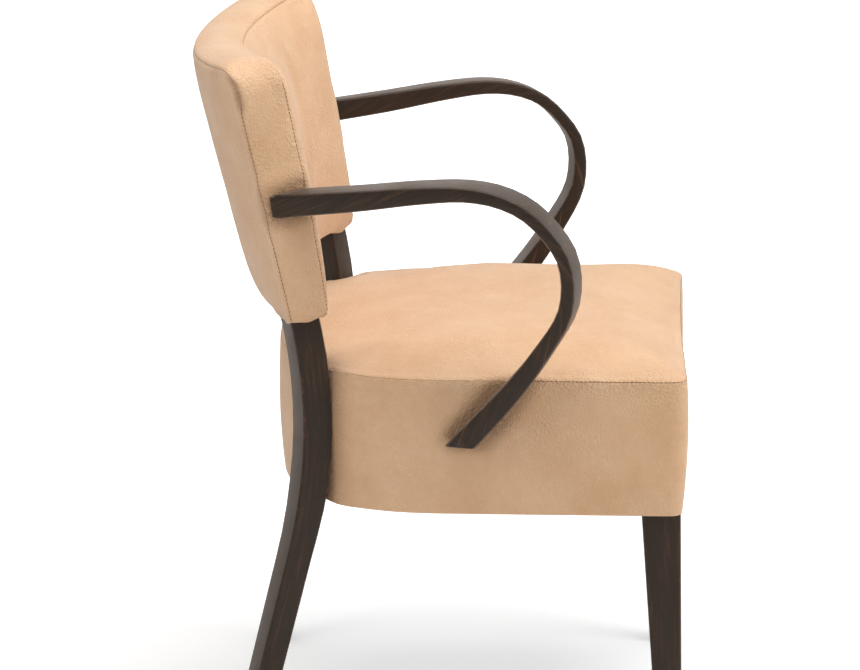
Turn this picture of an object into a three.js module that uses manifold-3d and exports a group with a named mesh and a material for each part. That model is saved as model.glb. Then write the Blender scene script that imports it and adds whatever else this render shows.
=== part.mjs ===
// Upholstered armchair with a barrel back, a boxed horseshoe seat and two bent wooden arm loops.
// Millimetres, +Z up, the floor at z = 0, the front towards -Y, mirrored about the YZ plane.
// Left pieces are built and the right ones are their mirror images.
import * as THREE from "three";
import { mergeVertices } from "three/addons/utils/BufferGeometryUtils.js";
import Module from "manifold-3d";

const wasm = await Module();
wasm.setup();

// Fits and the leather
const fit = 0.3;
const leather = 2.5;
const overrun = 20;

// Seat
const seamHeight = 455;
const boxing = 151;
const seatHalfWidth = 244;
const seatWidestAt = -30;
const seatRearDepth = 200;
const seatFrontLength = 253.5;
const seatSideTaper = 1.5;
const seatFrontDip = 3.5;
const seatCornerRadius = 17;
const seatDrawIn = 3.5;
const seatBulge = 3;
const seatCrown = 27;
const seatRoundness = 2.6;
const crownFlatness = 6;
const crownRearLoss = 0.9;
const boxingShares = [0, 0.2, 0.5, 0.8, 1];
const crownShares = [0.985, 0.95, 0.88, 0.74, 0.5, 0.22];
const seatRearSteps = 9;
const seatSideSteps = 3;
const seatCornerSteps = 4;
const seatFrontSteps = 4;

// Seat frame
const railThickness = 24;
const railHeight = 110;
const tenonLength = 8;
const tenonThickness = 8;
const tenonHeight = 40;
const tenonBelowTop = 12;
const blockReach = 62;
const blockBlunt = 10;
const blockHeight = 76;
const blockRise = 6;
const rearBlockLength = 96;
const rearBlockThickness = 20;
const strapWidth = 38;
const strapThickness = 2.4;
const strapPitch = 51;
const strapCount = 6;
const strapsBehindFront = 39.7;
const strapEndInset = 12;
const dustCoverThickness = 1.2;
const dustCoverInset = 8;

// Backrest, set out from its lower rear middle and turned back by its rake
const backRakeAngle = 14.2;
const backAboveSeam = 61;
const backBehindLegs = 21.3;
const backInset = 9.2;
const backHeight = 259.6;
const backRearRise = 8.5;
const backThicknessBottom = 46;
const backThicknessTop = 55;
const backBottomAngle = 26.4;
const backTopAngle = 28.3;
const backTopCrown = 9;
const backTopCorner = 26;
const backRearBulge = 4;
const backFrontCrown = 18;
const backLowCrownShare = 0.55;
const backTuck = 5;
const backSideBulge = 3.5;
const backHeightShares = [0.04, 0.16, 0.36, 0.6, 0.82, 0.95];
const backTopShares = [0.15, 0.5, 0.85];
const backSteps = 9;
const backCrowding = 2;
const backRoundPower = 4;
const backSwellPower = 8;
const backSeamPower = 30;
const backTuckPower = 5;
const sideCapShares = [0.6, 0.94];

// Backrest frame, as depths in front of the rear surface and heights up the rake
const backRailDepth = 7;
const backRailThickness = 18;
const backRailHeight = 30;
const backRailLow = 5.6;
const backRailBelowTop = 54;
const backRailAngle = 24.2;
const backTenonAngle = 23.8;
const backTenonThickness = 8;
const backTenonMargin = 5;
const backPanelThickness = 6;
const backPanelInset = 21.5;
const backFoamAboveRail = 4.3;
const backRearFoamAngle = 24.5;
const backBaseAngle = 21.5;
const backBaseRise = 0.5;
const backBaseThickness = 3;
const backBlockSteps = 14;

// Rear legs
const rearLegTurnAngle = 25.5;
const rearLegInset = 42.5;
const rearLegSink = 4;
const rearLegDepth = 34;
const rearLegWidth = 35;
const rearLegFootDepth = 28;
const rearLegFootWidth = 31;
const rearLegBendBelowSeam = 58.2;
const rearLegBendReach = 134;
const rearLegTopAngle = 14.2;
const rearLegFootAngle = 13.8;
const rearLegSplayAngle = 8;
const rearLegBelowTop = 4;
const rearLegTaperStart = 320;
const rearLegTaperEnd = 250;
const rearLegTaperShare = 0.6;
const rearLegSteps = 26;
const legEdge = 2.5;

// Front legs
const frontLegTopSize = 42.5;
const frontLegFootSize = 25;
const frontLegBehindSeam = 5.1;
const frontLegInset = 8.5;
const frontLegDrift = 5.5;
const studRadius = 4;
const studReach = 45;
const studFromSide = 9.8;
const studFromFront = 7.3;

// Foot glides
const glideRadius = 9;
const glideHeight = 4;
const glideNailRadius = 1.5;
const glideNailLength = 15;
const glideSides = 24;

// Arms, each a flat loop in a plane that is splayed towards the front and leans out at the top
const armReach = 162;
const armTopAboveSeam = 216;
const armOutside = 5.9;
const armAheadOfLeg = 169.3;
const armBackFlare = 2.5;
const armSpreadAboveSeam = 65.8;
const armSplayAngle = 13.5;
const armLeanAngle = 3.85;
const armWidth = 38;
const armBackWidth = 24;
const armEndBelowSeam = 67.5;
const armEdge = 2.6;
const armSteps = 44;
const armThickBack = 26;
const armThickWaist = 13.2;
const armThickFoot = 26.5;
const armForwardShares = [
  -1.03, -0.936, -0.3975, 0.026, 0.327, 0.5426, 0.722, 0.859, 0.988, 0.994, 0.812, 0.6235,
  0.3877, 0.13,
];
const armRiseShares = [
  0.868, 0.881, 0.933, 0.98, 0.9986, 0.978, 0.921, 0.8296, 0.681, 0.4407, 0.193, -0.002,
  -0.2074, -0.43,
];
const armBackShares = [1, 0.72, 0.25, 0, 0, 0, 0];
const armFootShares = [0, 0, 0, 0, 0.25, 0.7, 1];
const armNarrowShares = [1, 0.5, 0.1, 0, 0, 0, 0];

// Screws and bolts
const fastenerSides = 12;
const legBoltRadius = 3.5;
const legBoltHead = 7;
const legBoltHeadHeight = 4;
const legBoltLength = 53;
const legBoltAhead = 43;
const legBoltMargin = 32;
const armScrewRadius = 2.5;
const armScrewHead = 5;
const armScrewHeadHeight = 3;
const armScrewPast = 14;
const armScrewBelowTop = 22;
const armScrewAhead = 10;
const armBoltRadius = 3.5;
const armBoltHead = 6.5;
const armBoltHeadHeight = 4;
const armBoltLength = 52;
const armBoltBelowRailTop = 13;
const armBoltShare = 0.32;
const blockScrewRadius = 2.5;
const blockScrewHead = 5;
const blockScrewHeadHeight = 3;
const blockScrewGrip = 14;
const blockScrewFromEnd = 20;

// Finishes
const leatherFinish = { color: 0xd9b48a, roughness: 0.62, metalness: 0 };
const wengeFinish = { color: 0x2e2622, roughness: 0.42, metalness: 0 };
const beechFinish = { color: 0xc8a070, roughness: 0.7, metalness: 0 };
const foamFinish = { color: 0xe8dfae, roughness: 0.95, metalness: 0 };
const clothFinish = { color: 0x3a3a3a, roughness: 0.9, metalness: 0 };
const steelFinish = { color: 0x9a9a9c, roughness: 0.35, metalness: 1 };
const glideFinish = { color: 0x1c1c1c, roughness: 0.5, metalness: 0 };

const radians = THREE.MathUtils.degToRad;
const lerp = THREE.MathUtils.lerp;
const clamp = THREE.MathUtils.clamp;

// Heights, insets and places that follow from the sizes above
const railBottom = seamHeight - boxing;
const railTop = railBottom + railHeight;
const railInset = leather + seatDrawIn + fit;
const railInside = railInset + railThickness;
const frontInside = seatWidestAt - seatFrontLength + seatFrontDip + railInside;
const sideInside = seatHalfWidth - seatSideTaper - railInside;
const seatHalfDepth = (seatRearDepth + seatFrontLength) / 2;
const seatMiddle = seatWidestAt + seatRearDepth - seatHalfDepth;
const rearLegHalfSpread = seatHalfWidth - rearLegInset;
const rearLegBendHeight = seamHeight - rearLegBendBelowSeam;
const rearLegBendBehind = seatRearAt(rearLegHalfSpread) - rearLegSink;
const backLevel = seamHeight + backAboveSeam;
const backRake = radians(backRakeAngle);
const backRadius = (seatHalfWidth - backInset) / Math.sin(radians(backBottomAngle));
const backSagitta = backRadius - Math.sqrt(backRadius ** 2 - rearLegHalfSpread ** 2);
const backBehind = rearLegBehind(backLevel) + backSagitta / Math.cos(backRake) + backBehindLegs;
const backRailHigh = backHeight - backRailBelowTop;
const backFrameTop = backRailHigh + backRailHeight;
const rearLegTop = backLevel + backHeight * Math.cos(backRake) - rearLegBelowTop;
const armLowerEnd = seamHeight - armEndBelowSeam;
const armScrewHeight = seamHeight + armTopAboveSeam - armScrewBelowTop;
const armBehind = rearLegBehind(armScrewHeight) - armAheadOfLeg;
const armBoltAhead = armReach * armBoltShare - armBehind;
const armBoltHeight = railTop - armBoltBelowRailTop;
const legBoltHeights = [railBottom + legBoltMargin, railTop - legBoltMargin];
const wide = seatHalfWidth + seatRearDepth;

const chair = new THREE.Group();
const upwards = new THREE.Vector3(0, 0, 1);
const outwards = new THREE.Vector3(1, 0, 0);

// Turns positions and triangles into a solid, right side out.
function solidFrom(positions, triangles) {
  const make = (triVerts) =>
    new wasm.Manifold(new wasm.Mesh({ numProp: 3, vertProperties: positions, triVerts }));
  const made = make(triangles);
  return made.volume() < 0 ? make(triangles.slice().reverse()) : made;
}

function solid(geometry) {
  geometry.deleteAttribute("normal");
  geometry.deleteAttribute("uv");
  const merged = mergeVertices(geometry);
  return solidFrom(merged.attributes.position.array, new Uint32Array(merged.index.array));
}

function mirrored(shape) {
  const mesh = shape.getMesh();
  const flipped = mesh.vertProperties.map((value, i) => (i % mesh.numProp === 0 ? -value : value));
  return solidFrom(flipped, mesh.triVerts);
}

const both = (shape) => shape.add(mirrored(shape));

// Adds one named piece to the chair.
function piece(name, shape, finish) {
  const mesh = shape.getMesh();
  const geometry = new THREE.BufferGeometry();
  geometry.setAttribute("position", new THREE.BufferAttribute(mesh.vertProperties, 3));
  geometry.setIndex(new THREE.BufferAttribute(mesh.triVerts, 1));
  geometry.computeVertexNormals();
  const made = new THREE.Mesh(geometry, new THREE.MeshStandardMaterial(finish));
  made.name = name;
  chair.add(made);
}

function pair(name, shape, finish) {
  piece(`${name}_left`, shape, finish);
  piece(`${name}_right`, mirrored(shape), finish);
}

// Closed skin through rings of equally many points, with a fan over each end.
function skin(rings) {
  const count = rings[0].length;
  const points = rings.flat();
  const indices = [];
  rings.slice(1).forEach((ring, i) => {
    ring.forEach((_, j) => {
      const a = i * count + j;
      const b = i * count + ((j + 1) % count);
      indices.push(a, b, b + count, a, b + count, a + count);
    });
  });
  [rings[0], rings[rings.length - 1]].forEach((ring, end) => {
    const start = end * (rings.length - 1) * count;
    const middle = new THREE.Vector3();
    ring.forEach((point) => middle.addScaledVector(point, 1 / count));
    points.push(middle);
    ring.forEach((_, j) => {
      const a = start + j;
      const b = start + ((j + 1) % count);
      indices.push(points.length - 1, end ? a : b, end ? b : a);
    });
  });
  const geometry = new THREE.BufferGeometry().setFromPoints(points);
  geometry.setIndex(indices);
  return solid(geometry);
}

// Upright prism over an outline of plan points.
function prism(outline, bottom, top) {
  const shape = new THREE.Shape(outline);
  const geometry = new THREE.ExtrudeGeometry(shape, { depth: top - bottom, bevelEnabled: false });
  geometry.translate(0, 0, bottom);
  return solid(geometry);
}

function box(x0, x1, y0, y1, z0, z1) {
  const geometry = new THREE.BoxGeometry(x1 - x0, y1 - y0, z1 - z0);
  geometry.translate((x0 + x1) / 2, (y0 + y1) / 2, (z0 + z1) / 2);
  return solid(geometry);
}

// Rectangle with cut corners in the plane of two unit vectors.
function cutRectangle(centre, along, across, length, width, cut) {
  const quarter = [
    [length / 2, width / 2 - cut],
    [length / 2 - cut, width / 2],
  ];
  const half = [...quarter, ...quarter.map(([u, v]) => [-u, v]).reverse()];
  const whole = [...half, ...half.map(([u, v]) => [-u, -v])];
  return whole.map(([u, v]) => centre.clone().addScaledVector(along, u).addScaledVector(across, v));
}

// Turned solid from a profile of radii and distances along a direction.
function turned(profile, start, direction, sides) {
  const outline = profile.map(([radius, along]) => new THREE.Vector2(radius, along));
  const geometry = new THREE.LatheGeometry(outline, sides);
  const turn = new THREE.Quaternion().setFromUnitVectors(new THREE.Vector3(0, 1, 0), direction);
  geometry.applyQuaternion(turn);
  geometry.translate(start.x, start.y, start.z);
  return solid(geometry);
}

// Screw with its head at the start, or its clearance hole when it is grown.
function screw(start, direction, radius, length, head, headHeight, grow) {
  const profile = [
    [0, -grow],
    [head + grow, -grow],
    [head + grow, headHeight + grow],
    [radius + grow, headHeight + grow],
    [radius + grow, length + grow],
    [0, length + grow],
  ];
  return turned(profile, start, direction, fastenerSides);
}

// Half width of the seat's seam at a distance back.
function seatHalfWidthAt(y) {
  if (y < seatWidestAt) {
    const share = (seatWidestAt - y) / seatFrontLength;
    return seatHalfWidth - seatSideTaper * share * share;
  }
  const share = Math.min((y - seatWidestAt) / seatRearDepth, 1);
  return seatHalfWidth * Math.pow(1 - Math.pow(share, seatRoundness), 1 / seatRoundness);
}

// Distance back of the seat's seam at a distance from the middle plane.
function seatRearAt(x) {
  const share = Math.pow(x / seatHalfWidth, seatRoundness);
  return seatWidestAt + seatRearDepth * Math.pow(1 - share, 1 / seatRoundness);
}

// Right half of the seat's seam, from the rear middle to the front middle.
function seatHalfOutline() {
  const half = [];
  for (let i = 0; i <= seatRearSteps; i++) {
    const angle = ((i / seatRearSteps) * Math.PI) / 2;
    const x = -seatHalfWidth * Math.pow(Math.sin(angle), 2 / seatRoundness);
    const rise = Math.pow(Math.max(Math.cos(angle), 0), 2 / seatRoundness);
    half.push(new THREE.Vector2(x, seatWidestAt + seatRearDepth * rise));
  }
  const front = seatWidestAt - seatFrontLength;
  for (let i = 1; i <= seatSideSteps; i++) {
    const y = lerp(seatWidestAt, front + seatCornerRadius, i / seatSideSteps);
    half.push(new THREE.Vector2(-seatHalfWidthAt(y), y));
  }
  const corner = half[half.length - 1];
  for (let i = 1; i <= seatCornerSteps; i++) {
    const angle = ((i / seatCornerSteps) * Math.PI) / 2;
    const x = corner.x + seatCornerRadius * (1 - Math.cos(angle));
    half.push(new THREE.Vector2(x, corner.y - seatCornerRadius * Math.sin(angle)));
  }
  const edge = half[half.length - 1];
  for (let i = 1; i <= seatFrontSteps; i++) {
    const share = 1 - i / seatFrontSteps;
    half.push(new THREE.Vector2(edge.x * share, edge.y + seatFrontDip * (1 - share * share)));
  }
  return half;
}

// Whole seam of the seat, drawn in by an inset, counterclockwise from the rear middle.
function seatOutline(inset) {
  const half = seatHalfOutline();
  const other = half.slice(1, -1).reverse();
  const ring = [...half, ...other.map((p) => new THREE.Vector2(-p.x, p.y))];
  return ring.map((p, i) => {
    const before = ring[(i + ring.length - 1) % ring.length];
    const after = ring[(i + 1) % ring.length];
    const tangent = after.clone().sub(before).normalize();
    return new THREE.Vector2(p.x - tangent.y * inset, p.y + tangent.x * inset);
  });
}

// Crowned seat form, drawn in by an inset and let down at its bottom by a drop.
function seatForm(inset, drop) {
  const rings = boxingShares.map((share) => {
    const tuck = seatDrawIn * (1 - share) - seatBulge * Math.sin(Math.PI * share);
    const low = share === 0 ? drop : 0;
    const high = share === 1 ? inset : 0;
    const level = railBottom + boxing * share - low - high;
    return seatOutline(inset + tuck).map((p) => new THREE.Vector3(p.x, p.y, level));
  });
  const seam = seatOutline(inset);
  crownShares.forEach((share) => {
    const rise = seatCrown * (1 - Math.pow(share, crownFlatness));
    const crowned = (p) => {
      const y = lerp(seatMiddle, p.y, share);
      const loss = crownRearLoss * clamp((y - seatMiddle) / seatHalfDepth, 0, 1);
      return new THREE.Vector3(p.x * share, y, seamHeight - inset + rise * (1 - loss));
    };
    rings.push(seam.map(crowned));
  });
  return skin(rings);
}

// Inner faces of the seat frame, drawn in by an inset.
function frameInside(inset) {
  const ring = seatOutline(inset);
  const rear = [...ring.slice(-seatRearSteps), ...ring.slice(0, seatRearSteps + 1)];
  const x = sideInside + railInside - inset;
  const y = frontInside - railInside + inset;
  return [...rear, new THREE.Vector2(-x, y), new THREE.Vector2(x, y)];
}

// How far a place in the backrest lies ahead of its rear middle, before the rake.
function backAhead(angle, depth) {
  return backRadius - (backRadius - depth) * Math.cos(angle);
}

// Point of the backrest at an angle round the barrel, a depth in front of its rear and a height.
function backPoint(angle, depth, height) {
  const ahead = backAhead(angle, depth);
  const sin = Math.sin(backRake);
  const cos = Math.cos(backRake);
  return new THREE.Vector3(
    (backRadius - depth) * Math.sin(angle),
    backBehind - ahead * cos + height * sin,
    backLevel + ahead * sin + height * cos,
  );
}

// How far a rounded corner drops at a distance from its edge.
function cornerDrop(radius, distance) {
  const left = Math.max(radius - distance, 0);
  return radius - Math.sqrt(radius * radius - left * left);
}

// Section of the padded back at a share of its span, from the lower rear round to the lower front.
// Its lower edge is level, its top square to the rake.
function backSection(share, inset, drop) {
  const spread = Math.abs(share);
  const halfArc = backRadius * radians(backBottomAngle) - inset;
  const top = backHeight - inset - cornerDrop(backTopCorner, halfArc * (1 - spread));
  const place = (part, depth, height, lowered) => {
    const span = radians(lerp(backBottomAngle, backTopAngle, part)) - inset / backRadius;
    const angle = share * span;
    const low = -backAhead(angle, depth) * Math.tan(backRake) - lowered;
    return backPoint(angle, depth, lerp(low, height, part));
  };
  const swell = (part) => 1 - Math.pow(2 * part - 1, backSwellPower);
  const rear = (part, lowered) => {
    const bulge = backRearBulge * swell(part) * (1 - Math.pow(spread, backRoundPower));
    return place(part, inset - bulge, top + backRearRise, lowered);
  };
  const front = (part, lowered) => {
    const height = swell(part) * lerp(backLowCrownShare, 1, part);
    const crown = backFrontCrown * height * (1 - Math.pow(spread, backSeamPower));
    const tuck = backTuck * Math.pow(1 - part, backTuckPower);
    const depth = lerp(backThicknessBottom, backThicknessTop, part) + crown - tuck - inset;
    return place(part, depth, top, lowered);
  };
  const parts = [0, ...backHeightShares, 1];
  const crest = new THREE.Vector3(0, Math.sin(backRake), Math.cos(backRake));
  const over = backTopShares.map((part) => {
    const lift = backTopCrown * Math.sin(Math.PI * part);
    return rear(1, 0).lerp(front(1, 0), part).addScaledVector(crest, lift);
  });
  const rears = parts.map((part) => rear(part, 0));
  const fronts = parts.reverse().map((part) => front(part, 0));
  const section = [...rears, ...over, ...fronts];
  return drop > 0 ? [rear(0, drop), ...section, front(0, drop)] : section;
}

// Swollen side of the back beyond its outermost section.
function backSideCap(section, side) {
  const middle = new THREE.Vector3();
  section.forEach((p) => middle.addScaledVector(p, 1 / section.length));
  const turn = radians(backTopAngle);
  const out = new THREE.Vector3(side * Math.cos(turn), -Math.sin(turn), 0);
  return sideCapShares.map((share) => {
    const swell = backSideBulge * Math.sqrt(1 - share * share);
    return section.map((p) => middle.clone().lerp(p, share).addScaledVector(out, swell));
  });
}

// Padded back form, drawn in by an inset and let down at its bottom by a drop.
function backForm(inset, drop) {
  const sections = [];
  for (let i = -backSteps; i <= backSteps; i++) {
    const spread = 1 - Math.pow(1 - Math.abs(i) / backSteps, backCrowding);
    sections.push(backSection(Math.sign(i) * spread, inset, drop));
  }
  const right = backSideCap(sections[0], -1);
  const left = backSideCap(sections[sections.length - 1], 1);
  return skin([...right, ...sections, ...left.reverse()]);
}

// Curved block of the back between two depths and two heights, over plus or minus an angle.
function backBlock(rearDepth, frontDepth, reach, bottom, top) {
  const rings = [];
  for (let i = 0; i <= backBlockSteps; i++) {
    const angle = radians(lerp(-reach, reach, i / backBlockSteps));
    rings.push([
      backPoint(angle, rearDepth, bottom),
      backPoint(angle, frontDepth, bottom),
      backPoint(angle, frontDepth, top),
      backPoint(angle, rearDepth, top),
    ]);
  }
  return skin(rings);
}

// Distance back of the rear leg's centre at a height.
function rearLegBehind(z) {
  const up = Math.tan(radians(rearLegTopAngle));
  const down = Math.tan(radians(rearLegFootAngle));
  const rise = z - rearLegBendHeight;
  if (rise > rearLegBendReach) return rearLegBendBehind + rise * up;
  if (rise < -rearLegBendReach) return rearLegBendBehind - rise * down;
  const share = (rise + rearLegBendReach) / (2 * rearLegBendReach);
  const ease = (1 - share) * (1 - share) * down + share * share * up;
  return rearLegBendBehind + rearLegBendReach * ease;
}

function rearLegCentre(z) {
  const spread = rearLegBehind(z) - rearLegBehind(rearLegBendHeight);
  const x = rearLegHalfSpread + Math.tan(radians(rearLegSplayAngle)) * spread;
  return new THREE.Vector3(x, rearLegBehind(z), z);
}

// Unit vectors of the rear leg's section: backwards, and out of its side.
function rearLegAxes() {
  const turn = radians(rearLegTurnAngle);
  const back = new THREE.Vector3(Math.sin(turn), Math.cos(turn), 0);
  return { back, out: new THREE.Vector3(Math.cos(turn), -Math.sin(turn), 0) };
}

function rearLegForm(grow) {
  const { back, out } = rearLegAxes();
  const bottom = glideHeight + fit - grow;
  const rings = [];
  for (let i = 0; i <= rearLegSteps; i++) {
    const z = lerp(bottom, rearLegTop + grow, i / rearLegSteps);
    const knee = clamp((rearLegTaperStart - z) / (rearLegTaperStart - rearLegTaperEnd), 0, 1);
    const shin = clamp((rearLegTaperEnd - z) / rearLegTaperEnd, 0, 1);
    const taper = lerp(shin, knee, rearLegTaperShare);
    const depth = lerp(rearLegDepth, rearLegFootDepth, taper) + 2 * grow;
    const width = lerp(rearLegWidth, rearLegFootWidth, taper) + 2 * grow;
    rings.push(cutRectangle(rearLegCentre(z), back, out, depth, width, legEdge));
  }
  return skin(rings);
}

function frontLegCentre(size, drift) {
  const front = seatWidestAt - seatFrontLength + frontLegBehindSeam;
  const side = seatHalfWidth - frontLegInset;
  return new THREE.Vector3(side + drift - size / 2, front + size / 2 - drift, 0);
}

function frontLegForm(grow) {
  const back = new THREE.Vector3(0, 1, 0);
  const ring = (z, size, drift) => {
    const centre = frontLegCentre(size, drift).setZ(z);
    return cutRectangle(centre, back, outwards, size + 2 * grow, size + 2 * grow, legEdge);
  };
  const foot = ring(glideHeight + fit - grow, frontLegFootSize, frontLegDrift);
  return skin([foot, ring(railBottom - fit + grow, frontLegTopSize, 0)]);
}

// Nailed glide under a foot, or the clearance of its nail when it is grown.
function glideForm(centre, grow) {
  const nailTop = glideHeight + glideNailLength + grow;
  const profile = [
    [0, 0],
    [glideRadius, 0],
    [glideRadius, glideHeight],
    [glideNailRadius + grow, glideHeight],
    [glideNailRadius + grow, nailTop],
    [0, nailTop],
  ];
  return turned(profile, new THREE.Vector3(centre.x, centre.y, 0), upwards, glideSides);
}

// Arm loop before its ends are cut to the seat and the back.
function armLoop() {
  const splay = radians(armSplayAngle);
  const lean = radians(armLeanAngle);
  const ahead = new THREE.Vector3(Math.sin(splay), -Math.cos(splay), 0);
  const up = upwards.clone().multiplyScalar(Math.cos(lean));
  up.x = Math.sin(lean) * Math.cos(splay);
  up.y = Math.sin(lean) * Math.sin(splay);
  const out = new THREE.Vector3().crossVectors(up, ahead).normalize();
  const places = armForwardShares.map((share, i) => {
    const height = armTopAboveSeam * armRiseShares[i] - armSpreadAboveSeam;
    const side = seatHalfWidth + armOutside;
    const place = new THREE.Vector3(side, armBehind, seamHeight + armSpreadAboveSeam);
    return place.addScaledVector(ahead, armReach * share).addScaledVector(up, height);
  });
  const path = new THREE.CatmullRomCurve3(places, false, "centripetal");
  const stations = armNarrowShares.map((narrow, i) => {
    const back = (armThickBack - armThickWaist) * armBackShares[i];
    const foot = (armThickFoot - armThickWaist) * armFootShares[i];
    const width = lerp(armWidth, armBackWidth, narrow);
    const shift = (armWidth - width) / 2 + armBackFlare * narrow;
    return new THREE.Vector3(width, armThickWaist + back + foot, shift);
  });
  const sizes = new THREE.CatmullRomCurve3(stations);
  const rings = [];
  for (let i = 0; i <= armSteps; i++) {
    const share = i / armSteps;
    const normal = new THREE.Vector3().crossVectors(out, path.getTangentAt(share)).normalize();
    const size = sizes.getPoint(share);
    const centre = path.getPointAt(share).addScaledVector(out, size.z);
    rings.push(cutRectangle(centre, normal, out, size.y, size.x, armEdge));
  }
  return skin(rings);
}

function legBolt(height, grow) {
  const { back } = rearLegAxes();
  const start = rearLegCentre(height).addScaledVector(back, -legBoltAhead);
  return screw(start, back, legBoltRadius, legBoltLength, legBoltHead, legBoltHeadHeight, grow);
}

// Clearance of both bolts of a rear leg.
function legBoltHoles() {
  const [lower, upper] = legBoltHeights.map((height) => legBolt(height, fit));
  return lower.add(upper);
}

// Screw from the inner face of the rear leg into the back end of the arm.
function armScrew(grow) {
  const { back, out } = rearLegAxes();
  const start = rearLegCentre(armScrewHeight).addScaledVector(back, -armScrewAhead);
  start.addScaledVector(out, -rearLegWidth / 2 - armScrewHeadHeight - fit);
  const length = rearLegWidth + armScrewHeadHeight + armScrewPast;
  return screw(start, out, armScrewRadius, length, armScrewHead, armScrewHeadHeight, grow);
}

// Bolt from inside the side rail into the lower end of the arm.
function armBolt(grow) {
  const inside = seatHalfWidthAt(-armBoltAhead) - railInside;
  const start = new THREE.Vector3(inside - armBoltHeadHeight - fit, -armBoltAhead, armBoltHeight);
  return screw(start, outwards, armBoltRadius, armBoltLength, armBoltHead, armBoltHeadHeight, grow);
}

function frontStud(grow) {
  const y = frontInside - studFromFront;
  const start = new THREE.Vector3(sideInside + studFromSide, y, railBottom - studReach);
  return screw(start, upwards, studRadius, 2 * studReach, studRadius, studReach, grow);
}

// Screw through a corner block into the side rail.
function blockScrew(y, blockDepth, grow) {
  const height = railBottom + blockRise + blockHeight / 2;
  const start = new THREE.Vector3(sideInside - blockDepth - blockScrewHeadHeight, y, height);
  const length = blockScrewHeadHeight + blockDepth + blockScrewGrip;
  const head = blockScrewHead;
  return screw(start, outwards, blockScrewRadius, length, head, blockScrewHeadHeight, grow);
}

const frontBlockScrew = (grow) =>
  blockScrew(frontInside + blockScrewFromEnd, blockReach - blockScrewFromEnd, grow);
const rearBlockScrew = (grow) =>
  blockScrew(seatWidestAt - blockScrewFromEnd, rearBlockThickness, grow);

// Stub tenons of the seat frame: the front rail's into a side rail, a side rail's into the rear rail.
function frontTenon(grow) {
  const middle = frontInside - railThickness / 2;
  const half = tenonThickness / 2 + grow;
  const top = railTop - tenonBelowTop + grow;
  const low = top - tenonHeight - 2 * grow;
  const end = sideInside + tenonLength + grow;
  return box(sideInside - tenonLength, end, middle - half, middle + half, low, top);
}

function sideTenon(grow) {
  const middle = seatHalfWidth - railInset - railThickness / 2;
  const half = tenonThickness / 2 + grow;
  const top = railTop - tenonBelowTop + grow;
  const low = top - tenonHeight - 2 * grow;
  const end = seatWidestAt + tenonLength + grow;
  return box(middle - half, middle + half, seatWidestAt - tenonLength, end, low, top);
}

function backTenons(bottom, grow) {
  const reach = backTenonAngle + THREE.MathUtils.radToDeg(grow / backRadius);
  const depth = backRailDepth + (backRailThickness - backTenonThickness) / 2 - grow;
  const low = bottom + backTenonMargin - grow;
  const high = bottom + backRailHeight - backTenonMargin + grow;
  return backBlock(depth, depth + backTenonThickness + 2 * grow, reach, low, high);
}

// Room outside the back's padding, which the rear legs are rebated for.
function backSurround() {
  const above = box(-wide, wide, 0, wide, backLevel, 2 * wide);
  return above.subtract(backForm(leather + fit, overrun));
}

function addLegs() {
  let rear = rearLegForm(0).subtract(armScrew(fit)).subtract(legBoltHoles());
  rear = rear.subtract(backSurround());
  [backRailLow, backRailHigh].forEach((bottom) => {
    rear = rear.subtract(backTenons(bottom, fit));
  });
  const rearFoot = rearLegCentre(glideHeight);
  pair("rear_leg", rear.subtract(glideForm(rearFoot, fit)), wengeFinish);
  pair("rear_glide", glideForm(rearFoot, 0), glideFinish);
  legBoltHeights.forEach((height, i) => {
    pair(`rear_leg_bolt_${i + 1}`, legBolt(height, 0), steelFinish);
  });
  const frontFoot = frontLegCentre(frontLegFootSize, frontLegDrift);
  const front = frontLegForm(0).subtract(frontStud(fit)).subtract(glideForm(frontFoot, fit));
  pair("front_leg", front, wengeFinish);
  pair("front_glide", glideForm(frontFoot, 0), glideFinish);
  pair("front_leg_stud", frontStud(0), steelFinish);
}

function addArms() {
  const below = box(0, wide, -wide, wide, 0, armLowerEnd);
  const loop = armLoop().subtract(below).subtract(seatForm(-fit, 0)).subtract(backForm(-fit, 0));
  pair("arm", loop.subtract(armBolt(fit)).subtract(armScrew(fit)), wengeFinish);
  pair("arm_bolt", armBolt(0), steelFinish);
  pair("arm_screw", armScrew(0), steelFinish);
}

function addSeatFrame(legs) {
  const outer = prism(seatOutline(railInset), railBottom, railTop);
  const frame = outer.subtract(prism(frameInside(railInside), 0, railTop + overrun));
  const gap = fit / 2;
  const frontPart = box(gap - sideInside, sideInside - gap, -wide, -seatRearDepth, 0, railTop);
  const front = frame.intersect(frontPart).add(both(frontTenon(0)));
  piece("front_rail", front, beechFinish);
  const sidePart = box(sideInside + gap, wide, -wide, seatWidestAt - gap, 0, railTop);
  const side = frame.intersect(sidePart).add(sideTenon(0)).subtract(frontTenon(fit));
  const drilled = side.subtract(frontStud(fit)).subtract(armBolt(fit));
  pair("side_rail", drilled.subtract(frontBlockScrew(fit)).subtract(rearBlockScrew(fit)), beechFinish);
  const rearPart = box(-wide, wide, seatWidestAt + gap, wide, 0, railTop);
  const rear = frame.intersect(rearPart).subtract(legs).subtract(both(sideTenon(fit)));
  piece("rear_rail", rear.subtract(both(legBoltHoles())), beechFinish);
}

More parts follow.
